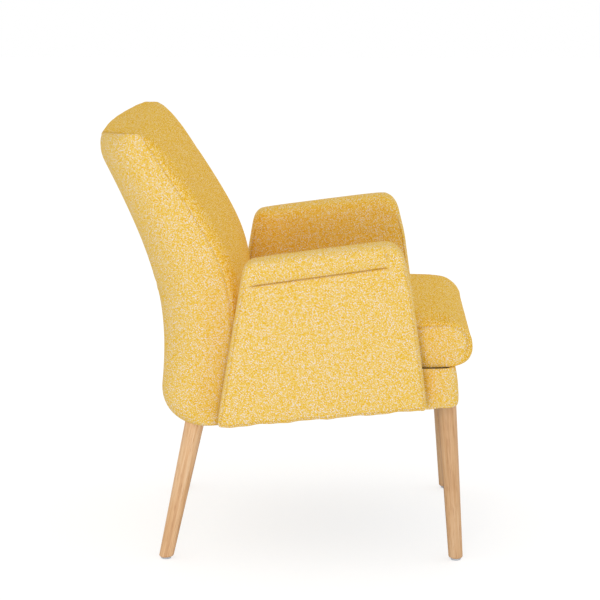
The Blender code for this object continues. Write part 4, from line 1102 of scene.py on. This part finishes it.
lining = make_woven("black_lining", (0.035, 0.034, 0.033), (0.012, 0.012, 0.012), 180.0)
webbing = make_woven("elastic_webbing", (0.13, 0.11, 0.09), (0.05, 0.045, 0.04), 120.0)
DECK = ((-0.2512, 0.0106), (0.2512, 0.0106), (0.2512, 0.4285), (-0.2512, 0.4285))
DECK_LOW, DECK_HIGH = 0.0657, 0.0748
SHEET = ((-0.2512, 0.0086), (0.2512, 0.0086), (0.222, 0.506), (-0.222, 0.506))
SHEET_LOW, SHEET_HIGH = 0.0001, 0.0011


def deck_points(x, y, z):
    """Seat points whose upper ones follow the seat's drooping front edge."""
    return seat_points(x, y, z - droop(y) * np.clip((z - DECK_LOW) / (DECK_HIGH - DECK_LOW), 0, 1))


deck = sew("seat_deck_pad", slab(DECK, DECK_LOW, DECK_HIGH, deck_points, radius=0.012, edge=0.0035), lining)
wear(deck, "chair", "lining", "seat_deck")
sheet = sew("dust_sheet", slab(SHEET, SHEET_LOW, SHEET_HIGH, seat_points, radius=0.010, edge=0.0004), lining)
wear(sheet, "chair", "lining", "dust_cover")

# %% [markdown]
# ## Blowing up the covers
#
# A stuffed cover is cloth with something pushing from inside. So the covers get a short cloth simulation: a little
# pressure, no gravity, twenty frames. Seams and parts that rest on the frame are pinned, and the cloth between them
# swells. The swelling is then read off and limited, so that no point moves by two millimetres or more, and becomes
# the shape itself.

# %% Pins and pressure
PRESSURE = 4.0
FRAMES = 20
PIN_LEVELS = 10


def prepare_cloth(piece):
    """Pin the cover by its pin number, rounded to PIN_LEVELS, and add a cloth modifier with pressure inside."""
    mesh = piece.data
    pins = np.zeros(len(mesh.vertices), np.float32)
    mesh.attributes["pin"].data.foreach_get("value", pins)
    group = piece.vertex_groups.new(name="pins")
    steps = np.rint(pins * PIN_LEVELS).astype(int)
    for step in range(1, PIN_LEVELS + 1):
        group.add(np.flatnonzero(steps == step).tolist(), step / PIN_LEVELS, "REPLACE")
    push = piece.modifiers.new("Cloth", "CLOTH")
    push.settings.quality = 5
    push.settings.mass = 0.3
    push.settings.tension_stiffness = 15
    push.settings.compression_stiffness = 15
    push.settings.bending_stiffness = 0.5
    push.settings.use_pressure = True
    push.settings.uniform_pressure_force = PRESSURE
    push.settings.effector_weights.gravity = 0.0
    push.settings.vertex_group_mass = "pins"
    push.point_cache.frame_start = 1
    push.point_cache.frame_end = FRAMES


print("pressure", PRESSURE, "for", FRAMES, "frames")

# %% Let the padding push
MOST = 0.0018  # no point moves by more than this


def corners_of(mesh):
    """All points of a mesh as one table."""
    points = np.zeros(len(mesh.vertices) * 3, np.float32)
    mesh.vertices.foreach_get("co", points)
    return points.reshape(-1, 3)


def settle_cloth(piece):
    """Keep the swelling: each move is shortened to MOST times the hyperbolic tangent of its length over MOST."""
    swollen = piece.evaluated_get(bpy.context.evaluated_depsgraph_get())
    before = corners_of(piece.data)
    move = corners_of(swollen.data) - before
    length = np.linalg.norm(move, axis=-1, keepdims=True)
    move *= MOST * np.tanh(length / MOST) / np.maximum(length, 1e-9)
    piece.modifiers.clear()
    piece.vertex_groups.clear()
    piece.data.vertices.foreach_set("co", (before + move).ravel())
    piece.data.update()
    kept = np.linalg.norm(move, axis=-1)
    print(f"{piece.name}: cloth moved by up to {1000 * length.max():.1f} mm, kept {1000 * kept.max():.1f} mm")


covers = (arms["right"], arms["left"], back, cushion, border)
for piece in covers:
    prepare_cloth(piece)
for moment in range(1, FRAMES + 1):
    bpy.context.scene.frame_set(moment)
for piece in covers:
    settle_cloth(piece)
bpy.context.scene.frame_set(1)
for piece in covers:
    piece.data.attributes.remove(piece.data.attributes["pin"])
    print(piece.name, "has", len(piece.data.vertices), "points")

# %% [markdown]
# ## Oak legs and glides
#
# The legs are turned cones of light oak, a little thicker at the top, with a rounded foot. Straight lines from a
# circle at the foot to a larger one at the top, cut off level at the floor and tilted at the seat, give the cone. The
# grain needs to run along each leg, so every point carries its place in the leg's own axes as an attribute.

# %% Oak
OAK_STREAKS = ((0.25, (186, 138, 92)), (0.45, (214, 170, 124)), (0.62, (226, 188, 146)), (0.8, (234, 202, 164)))
STREAK_SCALE = (150.0, 150.0, 5.0)  # streaks to the metre, across the leg twice and along it
PORE_SCALE = (900.0, 900.0, 34.0)
PORE_TINT = (190, 140, 100)


def squeeze(tree, place, source, scale):
    """A source's positions, multiplied by a scale on each axis."""
    made = set_inputs(node(tree, "ShaderNodeMapping", place), Scale=scale)
    tree.links.new(source, made.inputs["Vector"])
    return made.outputs["Vector"]


def make_oak(name, paler):
    """Light oak: long streaks from a noise squeezed across the grain, darker pores, and a matt lacquer.

    The streaks' colours are all multiplied by paler.
    """
    material, tree, surface = new_material(name)
    link = tree.links.new
    set_inputs(surface, Specular_IOR_Level=0.35)
    grain = node(tree, "ShaderNodeAttribute", (-1300, 0), attribute_name="grain").outputs["Vector"]
    streak_place = squeeze(tree, (-1100, 200), grain, STREAK_SCALE)
    pore_place = squeeze(tree, (-1100, -200), grain, PORE_SCALE)
    streak = noise(tree, (-850, 200), streak_place, Scale=1.0, Detail=4.0, Distortion=0.4)
    pore = noise(tree, (-850, -200), pore_place, Scale=1.0, Detail=2.0)
    stops = [(value, *(paler * np.array(srgb(*colour)))) for value, colour in OAK_STREAKS]
    ramp = colour_row(tree, (-600, 200), streak.outputs[0], stops)
    pores = map_range(tree, (-600, -200), pore.outputs[0], (0.56, 0.72), (0.0, 0.55))
    dark = node(tree, "ShaderNodeMix", (-300, 150), data_type="RGBA", blend_type="MULTIPLY")
    dark.inputs["B"].default_value = (*srgb(*PORE_TINT), 1.0)
    link(pores.outputs["Result"], dark.inputs["Factor"])
    link(ramp.outputs["Color"], dark.inputs["A"])
    link(dark.outputs["Result"], surface.inputs["Base Color"])
    rough = map_range(tree, (-300, -50), streak.outputs[0], (0.3, 0.7), (0.42, 0.58))
    link(rough.outputs["Result"], surface.inputs["Roughness"])
    add_bump(tree, (-300, -300), pore.outputs[0], strength=0.15, distance=0.0005)
    return material


oak = {"front": make_oak("light_oak", 1.0), "rear": make_oak("pale_oak", 1.12)}
print("materials", [material.name for material in oak.values()])

# %% The shape of a leg
LEG_TOP_RADIUS = 0.01875
LEG_FOOT_RADIUS = 0.01375
FOOT_ROUND = 0.0035
LEG_SEGMENTS = 64


def cross_ways(axis):
    """Two unit directions square to an axis and to each other."""
    aside = np.cross(axis, [0.0, 1.0, 0.0])
    aside = aside / np.linalg.norm(aside)
    return aside, np.cross(axis, aside)


def leg_circle(centre, axis, radius):
    """Points round a circle square to an axis."""
    first, second = cross_ways(axis)
    turn = np.linspace(0, 2 * math.pi, LEG_SEGMENTS + 1)[:, None]
    return centre + radius * (np.cos(turn) * first + np.sin(turn) * second)


def leg_surface(top, foot):
    """Rings up a leg: share along each straight line between where it crosses the floor plane and the seat plane."""
    axis = (top - foot) / np.linalg.norm(top - foot)
    upper = leg_circle(top, axis, LEG_TOP_RADIUS)
    lower = leg_circle(foot, axis, LEG_FOOT_RADIUS)
    run = upper - lower
    square = np.array([0.0, math.sin(TILT), math.cos(TILT)])
    start = (foot[2] - lower[:, 2]) / run[:, 2]
    end = ((top - lower) @ square) / (run @ square)
    shares = np.concatenate([np.linspace(0, 0.02, 5), np.linspace(0.02, 1, 30)[1:]])[:, None]
    share = start + shares * (end - start)
    points = lower + share[..., None] * run
    centre = foot + share[..., None] * (top - foot)
    above = points[..., 2] - foot[2]
    drawn = FOOT_ROUND * rounding((FOOT_ROUND - above) / FOOT_ROUND)
    spokes = points - centre
    length = np.linalg.norm(spokes, axis=-1, keepdims=True)
    points = points - spokes / length * drawn[..., None]
    closing = np.array([0.5, 0.0])[:, None, None]
    bottom = foot + (points[:1] - foot) * closing
    lid = top + (points[-1:] - top) * closing
    return np.concatenate([bottom[::-1], points, lid]), axis


print("a leg is", 2000 * LEG_FOOT_RADIUS, "to", 2000 * LEG_TOP_RADIUS, "mm thick")

# %% Four legs
GLIDE_TOP = 0.0043
LEG_ASIDE = 0.2131  # from the middle of the chair to a leg's top
LEG_RAKE = {"front": 0.019, "rear": -0.0545}  # how far behind its foot a leg's top stands
LEG_GAP = 0.0003  # between a leg's top and the underside
RUN_ON = 0.035  # the share of its length by which a leg runs on into the seat
GRAIN_SHIFT = np.array([0.3, 0.11, 0.7])


def add_grain(piece, foot, axis, offset):
    """Each point's place in the leg's own axes, moved by an offset so that no two legs have the same streaks."""
    away = corners_of(piece.data) - foot
    own = np.stack([away @ way for way in (*cross_ways(axis), axis)], axis=-1) + offset
    grain = piece.data.attributes.new("grain", "FLOAT_VECTOR", "POINT")
    grain.data.foreach_set("vector", own.astype(np.float32).ravel())


feet = {}
for name in ("front_left", "front_right", "rear_left", "rear_right"):
    low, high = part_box("foot_glide_" + name)
    foot = np.array([(low.x + high.x) / 2, (low.y + high.y) / 2, GLIDE_TOP])
    sign = math.copysign(1, foot[0])
    end = name.split("_")[0]
    reach = foot[1] + LEG_RAKE[end] + MIDDLE
    top = np.array([sign * LEG_ASIDE, foot[1] + LEG_RAKE[end], UNDERSIDE - math.tan(TILT) * reach - LEG_GAP])
    points, axis = leg_surface(top + (top - foot) * RUN_ON, foot)
    leg = sew("oak_leg_" + name, [points], oak[end])
    add_grain(leg, foot, axis, GRAIN_SHIFT * len(feet))
    wear(leg, "chair", "oak", "leg_" + name)
    feet[name] = foot

# %% Glides
GLIDE_RADII = np.array([0.0, 0.006, 0.0085, 0.0097, 0.0100, 0.0100, 0.0])[:, None]
GLIDE_HEIGHTS = np.array([0.0, 0.0, 0.0002, 0.0010, 0.0022, 0.0042, 0.0042])[:, None]
GLIDE_SEGMENTS = 48
GLIDE_GREYS = ((0.3, *srgb(186, 193, 204)), (0.7, *srgb(206, 212, 221)))


def make_cloudy(name, scale, stops, roughness, **values):
    """A hard finish: faint clouds, about scale of them to the metre, in its colour and its roughness."""
    material, tree, surface = new_material(name)
    set_inputs(surface, **values)
    place = node(tree, "ShaderNodeTexCoord", (-800, 0))
    cloud = noise(tree, (-600, 0), place.outputs["Object"], Scale=scale, Detail=3.0)
    ramp = colour_row(tree, (-350, 100), cloud.outputs[0], stops)
    rough = map_range(tree, (-350, -150), cloud.outputs[0], (0.3, 0.7), roughness)
    tree.links.new(ramp.outputs["Color"], surface.inputs["Base Color"])
    tree.links.new(rough.outputs["Result"], surface.inputs["Roughness"])
    return material


glide_plastic = make_cloudy("grey_glide_plastic", 260.0, GLIDE_GREYS, (0.35, 0.55))
turn = np.linspace(0, 2 * math.pi, GLIDE_SEGMENTS + 1)
for name, foot in feet.items():
    x = foot[0] + GLIDE_RADII * np.cos(turn)
    y = foot[1] + GLIDE_RADII * np.sin(turn)
    glide = sew("glide_" + name, [np.stack([x, y, GLIDE_HEIGHTS + 0 * x], axis=-1)], glide_plastic)
    wear(glide, "chair", "glide", "foot_glide_" + name)

# %% [markdown]
# ## Finishes inside the chair
#
# The frame itself stays as the CAD made it, and only gets its finishes: birch plywood with its thin layers, zinc
# plated steel, and the dark weave for the straps.

# %% Plywood and steel
LAYER_SCALE = (700.0, 14.0, 60.0)  # layers across the board, and streaks along it and up it, to the metre
BIRCH = ((0.3, 0.52, 0.36, 0.20), (0.7, 0.72, 0.56, 0.37))
ZINC = ((0.3, 0.52, 0.53, 0.55), (0.7, 0.68, 0.69, 0.71))


def make_plywood():
    """Birch plywood: grain streaks along the board and thin layers across it."""
    material, tree, surface = new_material("birch_plywood")
    set_inputs(surface, Roughness=0.7)
    place = node(tree, "ShaderNodeTexCoord", (-1000, 0))
    layers = squeeze(tree, (-800, 150), place.outputs["Object"], LAYER_SCALE)
    streak = noise(tree, (-600, 150), layers, Scale=1.0, Detail=3.0)
    ramp = colour_row(tree, (-350, 150), streak.outputs[0], BIRCH)
    tree.links.new(ramp.outputs["Color"], surface.inputs["Base Color"])
    return material


plywood = make_plywood()
steel = make_cloudy("zinc_plated_steel", 180.0, ZINC, (0.28, 0.45), Metallic=1.0)
FINISHES = (
    (plywood, ("board", "rail", "block")),
    (steel, ("bolt", "insert")),
    (webbing, ("strap",)),
)
finished = 0
for material, words in FINISHES:
    for name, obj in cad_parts.items():
        if any(word in name for word in words):
            obj.data.materials.clear()
            obj.data.materials.append(material)
            finished += 1
print("solids finished:", finished)

# %% [markdown]
# ## Floor, light and camera
#
# The photograph shows the chair from its right side, a little above, on plain white. One lamp stands low on the
# camera's side, a weaker one in front of the chair, and a pale sky fills the shadows. The floor keeps the chair's
# shadow but shows white to the camera elsewhere: part of its white is its own, part comes from the light.

# %% Floor
FLOOR_COLOUR = 0.86
SHOWN_COLOUR = 0.45  # the part of the white floor that answers to light, as the camera sees it
SHOWN_GLOW = 0.68  # the part of it that doesn't
FLOOR_REACH = 9.0
WHITE = (1.0, 1.0, 1.0, 1.0)


def make_floor():
    """A wide pale floor; to the camera part of its white is its own, so that a soft shadow is left on it."""
    material, tree, surface = new_material("pale_floor")
    link = tree.links.new
    shown = node(tree, "ShaderNodeBsdfPrincipled", (0, -400))
    for part, grey in ((surface, FLOOR_COLOUR), (shown, SHOWN_COLOUR)):
        set_inputs(part, Base_Color=(grey, grey, grey, 1.0), Roughness=0.9, Specular_IOR_Level=0.0)
    set_inputs(shown, Emission_Color=WHITE, Emission_Strength=SHOWN_GLOW)
    path = node(tree, "ShaderNodeLightPath", (-200, 300))
    mix = node(tree, "ShaderNodeMixShader", (400, 0))
    link(path.outputs["Is Camera Ray"], mix.inputs["Fac"])
    link(surface.outputs["BSDF"], mix.inputs[1])
    link(shown.outputs["BSDF"], mix.inputs[2])
    link(mix.outputs["Shader"], tree.nodes["Material Output"].inputs["Surface"])
    x, y = np.meshgrid([-FLOOR_REACH, FLOOR_REACH], [-FLOOR_REACH, FLOOR_REACH])
    floor = sew("studio_floor", [np.stack([x, y, 0 * x], axis=-1)], material)
    floor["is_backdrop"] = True


make_floor()

# %% Sky
SKY_STRENGTH = 0.80


def make_sky():
    """An even white sky; the camera and mirrors see plain white."""
    world = bpy.data.worlds.new("studio_sky")
    bpy.context.scene.world = world
    world.use_nodes = True
    tree = world.node_tree
    link = tree.links.new
    light = tree.nodes["Background"]
    set_inputs(light, Color=WHITE, Strength=SKY_STRENGTH)
    white = set_inputs(node(tree, "ShaderNodeBackground", (0, -200)), Color=WHITE, Strength=1.0)
    path = node(tree, "ShaderNodeLightPath", (-600, -200))
    either = node(tree, "ShaderNodeMath", (-400, -200), operation="MAXIMUM")
    any_of = node(tree, "ShaderNodeMath", (-200, -200), operation="MAXIMUM")
    mix = node(tree, "ShaderNodeMixShader", (250, 0))
    link(path.outputs["Is Camera Ray"], either.inputs[0])
    link(path.outputs["Is Glossy Ray"], either.inputs[1])
    link(either.outputs[0], any_of.inputs[0])
    link(path.outputs["Is Transmission Ray"], any_of.inputs[1])
    link(any_of.outputs[0], mix.inputs["Fac"])
    link(light.outputs["Background"], mix.inputs[1])
    link(white.outputs["Background"], mix.inputs[2])
    link(mix.outputs["Shader"], tree.nodes["World Output"].inputs["Surface"])


make_sky()
print("sky strength", SKY_STRENGTH)

# %% Lamps
LAMP_TARGET = Vector((0.0, 0.0, 0.45))


def add_lamp(name, place, size, power):
    """A square area lamp at a place, with its -Z axis towards the middle of the chair."""
    lamp = bpy.data.objects.new(name, bpy.data.lights.new(name, "AREA"))
    lamp.data.size = size
    lamp.data.energy = power
    lamp.location = place
    lamp.rotation_euler = (LAMP_TARGET - Vector(place)).to_track_quat("-Z", "Y").to_euler()
    bpy.context.scene.collection.objects.link(lamp)
    print(f"{name}: {power} W, {size} m wide")


add_lamp("key_lamp", (-3.6, 0.30, 0.70), size=0.6, power=25.0)
add_lamp("front_lamp", (0.4, -3.7, 1.0), size=1.6, power=9.0)

# %% Camera
CAMERA_PLACE = (-5.15, 0.220 - MIDDLE, 1.4862)
CAMERA_DOWN = math.radians(11.27)
CAMERA_YAW = math.radians(-0.97)
SENSOR = 36.0
FOCAL = 2617 / 600 * SENSOR  # the fitted focal length in pixels, over the picture's width in pixels


def add_camera():
    """The photograph's camera: looking along +X from the chair's right, 11 degrees down."""
    level = math.cos(CAMERA_DOWN)
    forward = Vector((level * math.cos(CAMERA_YAW), -level * math.sin(CAMERA_YAW), -math.sin(CAMERA_DOWN)))
    right = Vector((-math.sin(CAMERA_YAW), -math.cos(CAMERA_YAW), 0.0))
    turn = Matrix((right, right.cross(forward), -forward)).transposed().to_4x4()
    camera = bpy.data.objects.new("photo_camera", bpy.data.cameras.new("photo_camera"))
    camera.data.lens = FOCAL
    camera.data.sensor_width = SENSOR
    camera.data.clip_end = 100.0
    camera.matrix_world = Matrix.Translation(CAMERA_PLACE) @ turn
    bpy.context.scene.collection.objects.link(camera)
    bpy.context.scene.camera = camera


add_camera()
bpy.context.scene.view_settings.view_transform = "Standard"
print("focal length", round(FOCAL, 1), "mm")

# %% Sizes, and the end
bpy.context.view_layer.update()
low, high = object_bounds()
print("visual box", [round(v, 4) for v in low], [round(v, 4) for v in high])
